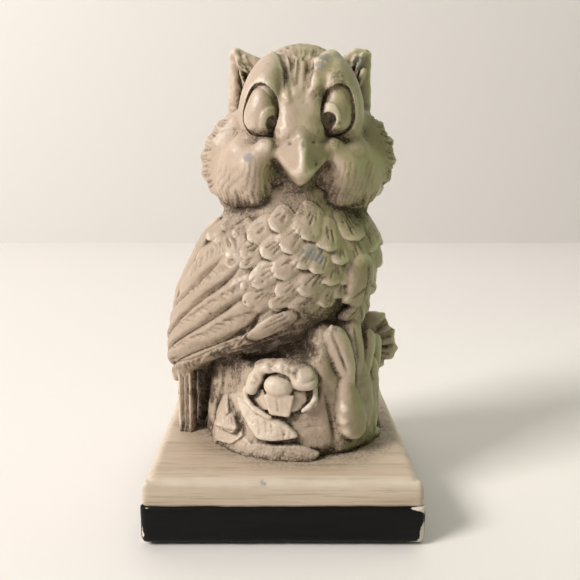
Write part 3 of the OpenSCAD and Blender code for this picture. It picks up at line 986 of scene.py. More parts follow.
# The rosebud: its dome, then its front petal and the two side petals, each with how round its edges are.
BUD_FORMS = ((((-8.8, 34.6, 0.6), (-8.9, 37.2, 0.2), (-7.2, 39.4, -0.4), (-4.8, 40.2, -0.6),
               (-2.2, 39.4, -0.2), (-0.7, 37.2, 0.6), (-0.6, 34.6, 1.4), (-2.2, 34.0, 1.8),
               (-4.4, 34.6, 2.0), (-6.8, 33.8, 1.6)), 1.3),
             (((-9.0, 34.9, 0.6), (-4.6, 35.6, 2.3), (-0.2, 35.3, 1.1), (-1.6, 29.4, 1.5),
               (-6.8, 29.7, 1.2)), 0.7),
             (((-12.4, 35.2, -1.2), (-9.0, 36.0, 0.1), (-7.2, 30.8, 0.7), (-9.0, 30.0, 0.0),
               (-12.2, 32.2, -0.8)), 0.5),
             (((-0.8, 36.2, 0.6), (3.0, 36.2, -0.6), (3.2, 33.0, -0.2), (0.8, 30.8, 0.4),
               (-1.6, 30.6, 0.9)), 0.5))


def petals_clay():
    clay = Clay((-18, -28, 24), (16, -10, 50))
    # Lumpy petals over the top, from the owl's right to its left, in the stump's skin coordinates.
    lumps = (((-12.4, 36.2, -0.2), (2.0, 2.3, 1.9)), ((-11.2, 38.8, -0.2), (2.4, 2.2, 1.9)),
             ((-8.4, 41.8, 0.0), (3.6, 1.6, 2.0)), ((-4.6, 42.4, 0.1), (3.4, 1.5, 1.9)),
             ((-0.9, 41.8, 0.5), (3.4, 2.0, 2.2)), ((2.4, 40.4, 0.3), (3.0, 2.4, 2.2)),
             ((3.0, 38.6, 0.5), (2.9, 2.3, 2.4)), ((0.4, 38.4, 0.0), (2.0, 1.8, 2.0)))
    clay.add_on_skin(STUMP, [ball(at, radii) for at, radii in lumps], 1.8)
    # A thin rim goes on round the lower half.
    rims = (((-14.4, 35.4, 0.2), (-13.8, 32.4, 0.4), (-10.8, 30.7, 0.8), (-6.6, 29.0, 0.8)),
            ((5.2, 37.0, 0.2), (5.1, 34.0, 0.5), (3.6, 32.2, 0.7), (1.8, 31.0, 0.6)))
    lips = [limb(path[k], path[k + 1], 0.75, 0.6) for path in rims for k in range(3)]
    return clay.add_on_skin(STUMP, lips, 0.3)


def bud_clay():
    clay = Clay((-16, -29, 24), (12, -10, 46))
    dome, *petals = [chip_form(corners, blend) for corners, blend in BUD_FORMS]
    swelling = ball((-4.7, 37.3, 0.3), (4.2, 3.0, 2.1))
    return clay.add_on_skin(STUMP, [dome, swelling, *petals], 0.3)


def rose_leaf_clay():
    clay = Clay((-22, -30, 17), (10, -8, 36))
    return clay.add_on_skin(STUMP, [chip_form(WEDGE_FACE, 0.9, 3.4)])


def foot_clay():
    clay = Clay((-28, -30, 14), (36, 8, 42))
    shapes = [chip_form(corners, 1.2) for corners in SHELF_FACES]
    shapes += [chip_form(corners, 0.4) for corners in LUMP_FACES]
    shapes.append(chip_form(FOOT_FACE, 0.9))
    shapes += [leaf((a, 19.8, -1.0), (a + 10, 17.2, 0.0), 4.2, 1.8, SKIN_OUT, root=0.4, point=0.5)
               for a in (23, 33, 43, 53, 62, -42, -51, -60)]
    return clay.add_on_skin(STUMP, shapes, 0.2).keep_above(TOP_Z - 0.3)


# Leaves of the spray at the stump's right: base, tip, width, thickness, facing, root, point and blend.
SPRAY_LEAVES = (((18.8, -17.0, 34.5), (12.9, -17.8, 52.4), 6.8, 1.7, (-0.1, -1, 0.15), 0.7, 0.36, 0.0),
                ((20.6, -14.4, 37.0), (18.4, -13.0, 54.5), 5.0, 1.9, (0.4, -1, 0.1), 0.5, 0.5, 0.2),
                ((22.2, -12.4, 36.0), (24.0, -8.8, 49.0), 4.6, 2.2, (0.4, -1, 0.1), 0.55, 0.35, 0.2),
                ((24.6, -8.5, 33.5), (27.0, -2.2, 46.0), 5.4, 2.2, (0.9, -0.5, 0.1), 0.4, 0.4, 0.3),
                ((24.4, -9.5, 42.0), (26.2, -8.2, 30.0), 4.4, 1.8, (0.8, -0.7, 0), 0.4, 0.5, 0.3))
# Lobes of the leaf that hangs on the body, and of the pointed bud, in skin coordinates: base, tip, width,
# thickness, root and point.
HANGING_LOBES = (((18.4, 71.0, 0.2), (20.6, 56.0, 1.6), 8.6, 1.8, 0.35, 0.5),
                 ((19.5, 62.0, 1.2), (15.6, 58.8, 1.0), 3.8, 1.5, 0.5, 0.3),
                 ((20.4, 57.6, 1.4), (17.0, 53.6, 1.2), 3.8, 1.5, 0.5, 0.3),
                 ((21.5, 62.5, 1.2), (26.6, 60.2, 0.8), 4.0, 1.5, 0.5, 0.3),
                 ((21.4, 58.6, 1.4), (26.0, 54.2, 1.0), 4.2, 1.5, 0.5, 0.3),
                 ((21.2, 57.0, 1.6), (21.8, 50.0, 1.8), 4.4, 1.7, 0.5, 0.45))
BUD_LOBES = (((14.6, 41.0, -0.6), (16.2, 21.8, 0.9), 8.6, 2.6, 0.9, 0.36),
             ((21.6, 39.0, -0.4), (21.4, 23.0, 0.2), 3.6, 2.0, 0.3, 0.4),
             ((25.6, 40.0, -0.6), (25.4, 21.0, 0.2), 4.2, 2.0, 0.3, 0.4))


def skin_leaves(rows):
    """Leaves that lie on a loft's skin."""
    return [leaf(base, tip, width, thick, SKIN_OUT, root, point)
            for base, tip, width, thick, root, point in rows]


def spray_clay():
    clay = Clay((6, -26, 28), (32, 6, 58))
    for base, tip, width, thick, facing, root, point, blend in SPRAY_LEAVES:
        clay.add(leaf(base, tip, width, thick, facing, root, point), blend)
    return clay.cut(limb((20.6, -18.5, 49), (20.6, -17.0, 41.5), 0.8, 0.4), 0.3)


def hanging_clay():
    clay = Clay((8, -24, 40), (32, 6, 74))
    return clay.add_on_skin(BODY, skin_leaves(HANGING_LOBES), 0.2)


def pointed_bud_clay():
    clay = Clay((8, -26, 16), (28, -8, 42))
    forms = skin_leaves(BUD_LOBES)
    for z, half in ((30.6, 2.2), (27.6, 2.4), (25.0, 1.7)):
        forms.append(limb((15.2 - half, z, 1.1), (15.4 + half, z - 0.5, 1.0), 1.3, 1.2))
    return clay.add_on_skin(STUMP, forms, 1.4)


def side_leaf_clay():
    clay = Clay((20, -8, 28), (37, 14, 54))
    for start, end, width in (((24.5, 3.5, 44), (29.6, 3.0, 50.3), 7),
                              ((25, 3.0, 42), (32.4, 2.6, 45.6), 7.4),
                              ((25, 3.0, 40), (33.6, 3.2, 40.4), 7),
                              ((25, 3.2, 38), (29.8, 3.8, 35.4), 6)):
        clay.add(leaf(start, end, width, 1.9, (0.35, -1, 0.1), root=0.6, point=0.22), 0.8)
    return clay.add(limb((24, 4, 48), (25, 4, 32), 3.6, 2.6), 1.5)


def sculpt():
    """Adds the pieces one by one: later ones are pressed onto earlier ones."""
    points_z = LATTICE_LOW[2] + VOXEL * np.arange(LATTICE_SHAPE[2])
    whole[:] = np.minimum(whole, (points_z - TOP_Z)[None, None, :].astype(np.float32))
    keep_piece("stump", stump_clay())
    keep_piece("body", body_clay())
    keep_piece("foot_leaves", foot_clay())
    keep_piece("rose_petals", petals_clay(), 0.4)
    keep_piece("rose_bud", bud_clay(), 0.3)
    keep_piece("rose_leaf", rose_leaf_clay(), 0.4)
    keep_piece("side_leaf", side_leaf_clay(), 0.8)
    keep_piece("leaf_spray", spray_clay(), 0.5)
    keep_piece("pointed_bud", pointed_bud_clay(), 0.8)
    keep_piece("tail_feathers", tail_clay())
    keep_piece("right_wing", right_wing_clay(), 0.6)
    keep_piece("left_wing", left_wing_clay(), 0.6)
    scales = Clay((-22, -26, 50), (30, 4, 88))
    scales.add_on_skin(BODY, [breast_scale(*place) for place in scale_places()])
    keep_piece("breast_feathers", scales)
    keep_piece("hanging_leaf", hanging_clay(), 0.4)
    keep_piece("head", head_clay())
    for name, side in (("right", -1), ("left", 1)):
        keep_piece(name + "_ruff", ruff_clay(side), 3.0)
        keep_piece(name + "_ear_tuft", ear_clay(side), 1.5)
        keep_piece(name + "_eye", eye_clay(side))
    keep_piece("crown_feathers", crown_clay(), 1.2)
    keep_piece("beak", beak_clay(), 1.6)


# ---------------------------------------------------------------- fine strokes
def scale_strokes():
    rng = np.random.default_rng(11)
    for around, z, width, lean in scale_places():
        way = np.array([math.sin(lean), -math.cos(lean)])
        side = np.array([way[1], -way[0]])
        count = 3 if width > 5 else 2
        for k in range(count):
            off = ((k + 0.5) / count - 0.5 + rng.uniform(-0.12, 0.12)) * width * 0.62
            start = np.array([around, z]) + side * off * 0.6 - way * width * rng.uniform(0.15, 0.4)
            end = start + way * width * rng.uniform(0.3, 0.62) + side * off * 0.4
            width_mm, depth = rng.uniform(0.2, 0.3), rng.uniform(0.25, 0.42)
            stroke(pieces["breast_feathers"], [start, end], BODY, width_mm, depth)


def wing_strokes():
    wing = pieces["right_wing"]
    for cut in WING_CUTS:
        path = curve(*cut, count=14)
        stroke(wing, path, BODY, 1.3, 0.45, 0.3)
        stroke(wing, path, BODY, 0.42, 1.1, 1.0)
        stroke(wing, path[2:] + (0.2, 1.35), BODY, 0.26, 0.4, 0.6)
    for i, (starts, ends, count) in enumerate(WING_BARBS):
        fringe(["right_wing"], starts, ends, count, BODY, 0.34, 0.55, -0.16, 20 + i, 0.5)
    starts, ends, count = WING_FRINGE
    fringe(["right_wing"], starts, ends, count, BODY, 0.32, 0.5, 0.1, 25, 0.8)
    stroke(wing, curve(*starts), BODY, 0.32, 0.45, 0.7)
    for name in ("right_wing", "body", "breast_feathers"):
        stroke(pieces[name], curve(*SHORT_FEATHER_OUTLINE, count=26), BODY, 0.35, 0.7, 1.0)
    for path in (((3.6, 56.2), (-1.0, 52.6)), ((2.6, 56.6), (-0.4, 54.4)), ((5.0, 55.2), (1.4, 51.8))):
        stroke(wing, path, BODY, 0.26, 0.35)
    for i in range(4):
        start, end = (-33 - 6 * i, 73 - 2 * i), (-46 - 4.5 * i, 47 - 1.5 * i)
        stroke(wing, [start, end], BODY, 0.3, 0.4, 0.5)
        ends = [(around - 4, z - 3.5) for around, z in (start, end)]
        fringe(["right_wing"], [start, end], ends, 18, BODY, 0.3, 0.35, 0.1, 30 + i)


def stump_strokes():
    """Bark at the sides and back, scratches on the front, and the cuts round the rose and its leaf."""
    stump = pieces["stump"]
    away = step_up(np.abs(flattened(stump, STUMP)[0][:, 0]), 22, 27)
    hair(stump, (0.1, 0, 1), 2.4, 0.45, away, 1.2)
    rng = np.random.default_rng(5)
    for _ in range(60):
        # Scratches and dents on the front.
        start = np.array([rng.uniform(-24, 24), rng.uniform(19, 44)])
        if -2 < start[0] < 9:
            continue
        way = np.array([rng.uniform(-1.4, 1.4), rng.uniform(-2.6, -0.6)])
        for name in ("stump", "foot_leaves"):
            stroke(pieces[name], [start, start + way], STUMP, rng.uniform(0.2, 0.34), rng.uniform(0.15, 0.4))
    # The long groove at the right of the rose, and flat cuts below it.
    stroke(stump, curve((7.8, 35.5), (9.2, 30), (10.4, 22.6)), STUMP, 0.45, 0.7, 0.8)
    fringe(["stump"], [(1.0, 28.6), (1.8, 25)], [(6.2, 28.4), (7.8, 25.6)], 5, STUMP, 0.26, 0.2, 0.05, 41)
    fringe(["rose_leaf"], [(-12, 30), (-6, 28), (0, 25.5)], [(-10, 24), (-5, 23.6), (-1, 23.8)], 6, STUMP,
           0.24, 0.16, 0.1, 42)
    fringe(["foot_leaves"], [(-21.5, 26.6), (-18.2, 28.6)], [(-19.6, 24.0), (-15.8, 26.0)], 6, STUMP,
           0.24, 0.25, 0.05, 43)
    # Dark cuts between the lumps, under the wedge and round the rose.
    for path, width, depth in ((((-22.6, 31.6), (-18.9, 28.6), (-15.3, 25.4), (-13.8, 22.2)), 0.4, 0.8),
                               (((-23.4, 23.1), (-19.4, 23.6), (-15.8, 24.0)), 0.3, 0.5),
                               (((-10.4, 22.5), (-4.6, 22.4), (0.6, 23.6)), 0.5, 0.7),
                               (((6.2, 41.4), (7.0, 37.6), (5.9, 33.6), (3.2, 31.2)), 0.6, 0.8),
                               (((-15.4, 36.6), (-14.9, 32.4), (-12.0, 30.2)), 0.35, 0.5)):
        for name in ("stump", "foot_leaves", "rose_leaf"):
            stroke(pieces[name], curve(*path), STUMP, width, depth, 1.0)
    for path in (((-9.6, 38.2), (-11.6, 40.2)), ((-6.6, 43.4), (-6.2, 40.8)), ((-2.6, 43.4), (-3.0, 40.4)),
                 ((0.8, 42.6), (0.0, 39.6)), ((1.6, 38.9), (5.2, 39.9)), ((-12.2, 37.6), (-10.2, 37.4))):
        stroke(pieces["rose_petals"], path, STUMP, 0.5, 0.45, 0.25)
    stroke(pieces["rose_bud"], [(-4.8, 34.6), (-4.3, 30.4)], STUMP, 0.3, 0.25, 0.2)


def leaf_strokes():
    """The leaves' veins."""
    front = (0.1, -1, 0)
    for path, width, depth in (([(12.9, -18, 50.6), (14.9, -18, 45.5), (17.0, -17.5, 40)], 0.4, 0.5),
                               ([(19.2, -15, 52), (19.7, -15, 47), (20.2, -15, 42)], 0.3, 0.4),
                               ([(23.2, -10, 48), (22.2, -12, 42), (21.6, -13, 38)], 0.3, 0.45)):
        stroke(pieces["leaf_spray"], path, front, width, depth)
    stroke(pieces["hanging_leaf"], [(19.0, 69), (20.6, 57), (21.6, 51)], BODY, 0.32, 0.5, 0.8)
    for start, end in (((19.6, 62.6), (16.4, 59.6)), ((20.4, 57.6), (17.8, 54.6)), ((20.0, 64), (25.6, 60.8)),
                       ((20.8, 59.4), (25.2, 55))):
        stroke(pieces["hanging_leaf"], [start, end], BODY, 0.3, 0.4, 0.7)
    fringe(["side_leaf"], [(26.5, 0, 46), (27, 0, 42), (27, 0, 38)],
           [(31, 0, 50.5), (34, 0, 44), (32, 0, 36)], 9, front, 0.4, 0.55, 0.06, 45)


def tail_strokes():
    """Upright slots."""
    tail, tail_front = pieces["tail_feathers"], (-0.1, -1, 0)
    for x, y in ((-28.3, -5.4), (-27.0, -5.2)):
        stroke(tail, [(x - 0.3, y, 42), (x - 0.1, y, 30), (x, y, 17)], tail_front, 0.3, 0.8, 1.0)
    stroke(tail, [(-25.6, -5, 36), (-25.4, -5, 24)], tail_front, 0.3, 0.3, 0.4)


def hair(piece, way, spacing, depth, region=None, warp=1.0, seed=0):
    """Wavy strands that run along a direction."""
    p = piece.points
    way = np.array(way, float) / np.linalg.norm(way)
    across = np.cross(piece.normals, way)
    side = np.cross(way, (0.3, -0.9, 0.2))
    side /= np.linalg.norm(side)
    phase = (p @ side + warp * noise(p, 5.0, seed) + 0.35 * noise(p, 1.6, seed + 1)) / spacing
    strands = comb(phase, 2.5) * step_up(noise(p * (1 - 0.6 * np.abs(way)), 2.4, seed + 2), -0.6, 0.1)
    amount = depth * strands * np.clip(np.linalg.norm(across, axis=1), 0, 1)
    piece.press(amount if region is None else amount * region)


FRONT = (0, -1, 0)


def ruff_strokes():
    """Strokes that run outward to the ruffs' scalloped rims, and hair along the foot of each cheek."""
    fringe(["right_ruff", "head"], [(-12.5, -2, 106), (-16.2, -2, 100), (-17.2, -2, 94), (-16.4, -2, 89)],
           [(-16.0, 0, 107), (-20.9, 0, 101.5), (-22.8, 0, 94), (-20.8, 0, 87)], 22, (-0.5, -1, 0),
           0.3, 0.36, 0.1, 1)
    fringe(["left_ruff", "head"], [(21.5, -2, 107), (24.6, -2, 101), (25.6, -2, 95), (24.8, -2, 89)],
           [(25.0, 0, 108), (30.4, 0, 101.5), (31.8, 0, 94), (29.3, 0, 86.4)], 24, (0.5, -1, 0),
           0.3, 0.4, -0.1, 2)
    fringe(["head", "right_ruff"], [(-17.5, -6, 88.5), (-11.5, -13, 88.6), (-6, -15, 88.5), (-2.6, -15, 93)],
           [(-17.4, -4, 82.6), (-11.0, -9, 81.9), (-5.2, -12, 83.4), (-2.2, -13, 86)], 24, (-0.2, -1, -0.2),
           0.3, 0.36, 0.1, 3)
    fringe(["head", "left_ruff"], [(26.5, -5, 88), (20.0, -12, 88.4), (15.0, -14, 89.5), (12.2, -13, 92)],
           [(25.6, -3, 82.4), (19.4, -9, 81.9), (13.2, -11, 83.6), (10.6, -12, 86)], 26, (0.2, -1, -0.2),
           0.3, 0.36, -0.1, 4)


def face_strokes():
    """Short upright strokes and stipple on the chin, and stippled ledges in the eye openings."""
    fringe(["head"], [(-0.6, -14, 94), (3.5, -14, 91), (9.5, -14, 93)],
           [(-1.2, -13, 84.5), (4, -13, 82.5), (9.5, -12, 84.5)], 15, FRONT, 0.3, 0.4, 0.05, 5, 0.5)
    p = pieces["head"].points
    chin = np.exp(-((p[:, 0] - FACE_X) / 4.6) ** 2) * step_up(97 - p[:, 2], 0, 3) * step_up(-p[:, 1], 5, 9)
    pieces["head"].press(0.3 * chin * step_up(noise(p, 0.8, 5), 0.0, 0.6), chin * 0.5)
    for side, name in ((-1, "right_eye"), (1, "left_eye")):
        x = EYES[side]["low"][0]
        for piece in (pieces["head"], pieces[name]):
            p = piece.points
            ledge = step_up(103.2 - p[:, 2], 0, 0.8) * (np.abs(p[:, 0] - x) < 5)
            ledge = ledge * step_up(p[:, 2], 101, 101.6)
            piece.press(0.3 * ledge * step_up(noise(p, 0.7, 6), -0.1, 0.5), ledge * 0.35)


def ear_strokes():
    """Curling strokes in the hollows, upright ones outside."""
    fringe(["right_ear_tuft"], [(-12.4, 0, 122.4), (-12.0, 0, 117), (-11.6, 0, 111)],
           [(-6.6, -1, 120.6), (-7.0, -1, 115), (-8.6, -1, 109)], 11, FRONT, 0.34, 0.5, -0.22, 6)
    fringe(["right_ear_tuft"], [(-14.6, 4, 122), (-14.6, 8, 120)], [(-14.6, 3, 106), (-14.6, 9, 105)], 5,
           (-1, 0, 0), 0.4, 0.45, 0.08, 7)
    fringe(["left_ear_tuft"], [(15.4, 0, 121), (16, 0, 116), (17.5, 0, 110)],
           [(21.2, 0, 122.6), (21.4, 0, 117), (21.4, 0, 111)], 11, FRONT, 0.34, 0.5, -0.2, 8)
    fringe(["left_ear_tuft"], [(24.4, 4, 122), (24.4, 9, 120)], [(24.4, 3, 106), (24.4, 9, 105)], 6,
           (1, 0, 0), 0.4, 0.45, 0.08, 9)


def crest_strokes():
    """Valleys between the forehead's ridges, the crest's fine hair, and small lines by the beak's top."""
    for path in (((0.9, -13, 119.6), (0.7, -13, 115.6), (0.6, -13, 111.8)),
                 ((2.6, -12, 121.0), (2.4, -12, 116.6)),
                 ((4.2, -13, 121.5), (4.0, -13, 117.6), (3.6, -13, 112.6)),
                 ((7.2, -14, 120.6), (5.9, -14, 116.1), (5.5, -14, 111.2))):
        stroke(pieces["head"], path, FRONT, 0.5, 0.55, 0.5)
    fringe(["crown_feathers", "head"], [(-2.5, -4, 123.5), (5, -3, 125), (12, -4, 123.5)],
           [(-0.5, -8, 119), (4.5, -10, 118.5), (9, -9, 119)], 13, (0, -0.7, 0.7), 0.3, 0.35, 0.03, 10)
    for i in range(8):
        x = -0.8 + 1.75 * i
        z = 125.5 - 0.06 * (x - 5.2) ** 2
        path = [(x, -6, z), (x + 0.9, -6, z - 0.3 * (i % 2))]
        stroke(pieces["crown_feathers"], path, FRONT, 0.35, 0.7, 1.0)
    for x, z in ((1.0, 100.8), (1.5, 99.2), (7.6, 99.6)):
        stroke(pieces["beak"], [(x, -21, z + 0.3), (x + 0.2, -21.5, z - 0.3)], FRONT, 0.42, 0.6)


def roughen():
    """The slightly uneven surface of a hand-made mould."""
    for name, piece in pieces.items():
        p = piece.points
        amount = 0.35 if "eye" in name else 0.6 if name in ("head", "beak") else 1.0
        waves = 0.16 * noise(p, 3.4, 31) + 0.11 * noise(p, 1.5, 32) + 0.06 * noise(p, 0.8, 33)
        piece.height += amount * waves
        piece.groove = np.maximum(piece.groove, 0.3 * amount * step_up(-waves, 0.12, 0.22))


def pits():
    """Small round casting pits, scattered over the figure, except on the rosebud."""
    rng = np.random.default_rng(7)
    names = sorted(name for name in pieces if name != "rose_bud")
    for _ in range(90):
        piece = pieces[names[rng.integers(len(names))]]
        at = rng.integers(len(piece.points))
        facing, place = piece.normals[at], piece.points[at]
        radius = 0.28 + 0.2 * rng.random()
        d = np.linalg.norm(piece.points - place, axis=1)
        near = (d < 1.5) & (piece.normals @ facing > 0.3)
        dent = np.exp(-(d[near] / radius) ** 2)
        piece.height[near] -= 0.4 * dent
        piece.groove[near] = np.maximum(piece.groove[near], dent)


BACK_HAIR_Y = 6                                  # the body has hair behind this


def carve():
    """Presses all the fine strokes, then roughens the surface."""
    scale_strokes()
    wing_strokes()
    ruff_strokes()
    face_strokes()
    ear_strokes()
    crest_strokes()
    body = pieces["body"]
    # Rows of down on the belly.
    for level in range(4):
        z = 50.5 - 2.8 * level
        fringe(["body", "right_wing"], [(10 - 1.4 * level, z + 3.5), (-3 - 1.0 * level, z - 3)],
               [(5.4 - 1.4 * level, z + 0.2), (-7 - 1.0 * level, z - 6)], 13, BODY,
               0.32, 0.5, 0.12, 50 + level, 0.9)
    hair(body, (0.1, 0.2, 1), 1.8, 0.35, body.points[:, 1] > BACK_HAIR_Y, 1.4)
    stump_strokes()
    leaf_strokes()
    tail_strokes()
    # Hair on the cheeks and round the head.
    head = pieces["head"].points
    cheeks = step_up(97 - head[:, 2], 0, 6) * step_up(np.abs(head[:, 0] - FACE_X), 5.5, 9)
    hair(pieces["head"], (0.25, 0, 1), 1.7, 0.2, cheeks, 1.6, 8)
    hair(pieces["head"], (0.1, 0.2, 1), 1.9, 0.35, step_up(head[:, 1], 1, 5), 1.4, 9)
    for name, lean in (("right_ruff", -0.7), ("left_ruff", 0.7)):
        behind = step_up(pieces[name].points[:, 1], 0, 3)
        hair(pieces[name], (lean, 0, 0.5), 1.8, 0.28, behind, 1.4, 10)
    roughen()
    pits()


# ---------------------------------------------------------------- how enclosed each point is
def box_blur(field, radius):
    """Means over boxes that reach radius cells to each side."""
    for axis in range(3):
        margins = [(radius + 1, radius) if k == axis else (0, 0) for k in range(3)]
        sums = np.cumsum(np.pad(field, margins, mode="edge"), axis=axis, dtype=np.float32)
        n = field.shape[axis]
        upper = np.take(sums, range(2 * radius + 1, 2 * radius + 1 + n), axis=axis)
        field = (upper - np.take(sums, range(n), axis=axis)) / (2 * radius + 1)
    return field


def measure_enclosure():
    """Gives each point the share of solid round it, at three distances."""
    solid = np.clip(0.5 - whole / VOXEL, 0, 1).astype(np.float32)
    coarse = solid[::2, ::2, ::2]
    layers = ((solid, 1, 0.9), (coarse, 2, 2.2), (coarse, 2, 5.5))
    blurred = []
    for field, step, radius in layers:
        cells = max(1, int(round(radius / (VOXEL * step) / 1.4)))
        blurred.append((box_blur(box_blur(field, cells), cells), step, radius))
    for piece in pieces.values():
        for field, step, radius in blurred:
            at = piece.points + piece.normals * radius * 0.45
            piece.closed.append(read_at(field, (0, 0, 0), at, step))


# ---------------------------------------------------------------- materials
def new_node(tree, kind, inputs=None, **settings):
    node = tree.nodes.new(kind)
    for key, value in settings.items():
        setattr(node, key, value)
    for key, value in (inputs or {}).items():
        if isinstance(value, bpy.types.NodeSocket):
            tree.links.new(value, node.inputs[key])
        else:
            node.inputs[key].default_value = value
    return node


def blank_material(name):
    material = bpy.data.materials.new(name)
    material.use_nodes = True
    tree = material.node_tree
    return material, tree, tree.nodes["Principled BSDF"]


def attribute(tree, name):
    return new_node(tree, "ShaderNodeAttribute", attribute_name=name).outputs["Fac"]


def math_node(tree, operation, a, b=0.0, clamp=False):
    return new_node(tree, "ShaderNodeMath", {0: a, 1: b}, operation=operation, use_clamp=clamp).outputs[0]


def mix_color(tree, factor, a, b):
    node = new_node(tree, "ShaderNodeMix", data_type="RGBA")
    for socket, value in ((node.inputs["Factor"], factor), (node.inputs[6], a), (node.inputs[7], b)):
        if isinstance(value, bpy.types.NodeSocket):
            tree.links.new(value, socket)
        else:
            socket.default_value = value
    return node.outputs[2]


def noise_node(tree, scale, detail=4.0, stretch=(1, 1, 1)):
    """Noise over the object's own place, in metres."""
    place = new_node(tree, "ShaderNodeTexCoord").outputs["Object"]
    if stretch != (1, 1, 1):
        place = new_node(tree, "ShaderNodeMapping", {"Vector": place, "Scale": stretch}).outputs[0]
    inputs = {"Vector": place, "Scale": scale, "Detail": detail}
    return new_node(tree, "ShaderNodeTexNoise", inputs).outputs["Fac"]


def remap(tree, value, low, high, to_low=0.0, to_high=1.0):
    return new_node(tree, "ShaderNodeMapRange", {"Value": value, "From Min": low, "From Max": high,
                                                 "To Min": to_low, "To Max": to_high}).outputs[0]


def add_bump(tree, shader, height, strength, distance, invert=False):
    """Relief on a shader; distance is in metres."""
    bump = new_node(tree, "ShaderNodeBump", {"Height": height, "Strength": strength, "Distance": distance},
                    invert=invert)
    tree.links.new(bump.outputs[0], shader.inputs["Normal"])


# Tones of the cast and of what was rubbed into it.
CREAM = (0.54, 0.418, 0.322, 1)
# Pale of the rubbed edges, which also stands in for highlights on them.
PALE = (0.76, 0.655, 0.53, 1)
TAN = (0.32, 0.245, 0.175, 1)
# The darkest brown: the wash in the deepest grooves, and painted shade in deep recesses.
UMBER_WASH_AND_SHADE = (0.080, 0.056, 0.037, 1)
DULL = (0.375, 0.29, 0.212, 1)
# Painted green shade: the dim green light from the right, multiplied into the cast's colour.
PAINTED_GREEN_SHADE = (0.68, 0.79, 0.53, 1)
LILAC = (0.36, 0.325, 0.31, 1)
GROUT = (0.24, 0.20, 0.165, 1)
# Tones of the slab's wood grain, from its ground to its deepest pores, and of its worn edge.
GRAIN_PALE = (0.62, 0.50, 0.385, 1)
GRAIN_TAN = (0.53, 0.42, 0.31, 1)
GRAIN_LINE = (0.36, 0.28, 0.19, 1)
GRAIN_PORE = (0.25, 0.19, 0.13, 1)
GRAIN_MOTTLE = (0.70, 0.60, 0.48, 1)
GRAIN_WORN = (0.70, 0.61, 0.49, 1)
# Tones of the block, the felt and the screw.
BLACK = (0.003, 0.0034, 0.0034, 1)
BRUSHED_BLACK = (0.007, 0.007, 0.0066, 1)
BARE = (0.72, 0.66, 0.57, 1)
FELT_DARK = (0.020, 0.052, 0.026, 1)
FELT_LIGHT = (0.05, 0.11, 0.055, 1)
STEEL = (0.56, 0.57, 0.58, 1)


def cast_material():
    """Cream cast under a satin varnish: brown wash and painted shade in recesses, rubbed edges that also carry
    painted highlights, chips, and a painted green shade on the right.
    """
    material, tree, shader = blank_material("antiqued_cast")
    broad = noise_node(tree, 90, 3)
    mottled = noise_node(tree, 420, 5)
    fine = noise_node(tree, 1700, 3)
    wash_and_shade, edge, chip, tone, painted_green_shade = (attribute(tree, n) for n in ("wash_and_shade", "edge", "chip", "tone", "painted_green_shade"))
    # The wash and painted shade are uneven and end in specks.
    blotches = remap(tree, mottled, 0.32, 0.68, 0.45, 1.5)
    specks = remap(tree, fine, 0.35, 0.65, 0.55, 1.35)
    uneven = math_node(tree, "MULTIPLY", wash_and_shade, math_node(tree, "MULTIPLY", blotches, specks))
    drift = remap(tree, broad, 0.35, 0.65, -0.1, 0.2)
    toned = math_node(tree, "ADD", math_node(tree, "MULTIPLY", tone, 0.55), drift)
    color = mix_color(tree, toned, CREAM, DULL)
    # Paler convex edges: rubbed wear and painted highlight.
    color = mix_color(tree, math_node(tree, "MULTIPLY", edge, 0.7, True), color, PALE)
    color = mix_color(tree, math_node(tree, "MULTIPLY", remap(tree, uneven, 0.04, 0.42), 0.85), color, TAN)
    color = mix_color(tree, math_node(tree, "MULTIPLY", remap(tree, uneven, 0.4, 1.0), 0.93), color, UMBER_WASH_AND_SHADE)
    color = mix_color(tree, remap(tree, fine, 0.62, 0.7, 0, 0.4), color, GROUT)
    color = mix_color(tree, chip, color, LILAC)
    # Painted green shade on what faces right, standing in for dim green light from that side.
    green_shaded_color = new_node(tree, "ShaderNodeMix", {6: color, 7: PAINTED_GREEN_SHADE}, data_type="RGBA", blend_type="MULTIPLY")
    tree.links.new(math_node(tree, "MULTIPLY", painted_green_shade, 0.85), green_shaded_color.inputs["Factor"])
    tree.links.new(green_shaded_color.outputs[2], shader.inputs["Base Color"])
    rough = remap(tree, math_node(tree, "ADD", uneven, chip), 0, 0.8, 0.38, 0.85)
    tree.links.new(rough, shader.inputs["Roughness"])
    coarse = math_node(tree, "MULTIPLY", mottled, 1.5)
    grain = math_node(tree, "ADD", math_node(tree, "MULTIPLY", fine, 0.6), coarse)
    add_bump(tree, shader, grain, remap(tree, wash_and_shade, 0, 0.5, 0.3, 0.8), 0.0005)
    return material


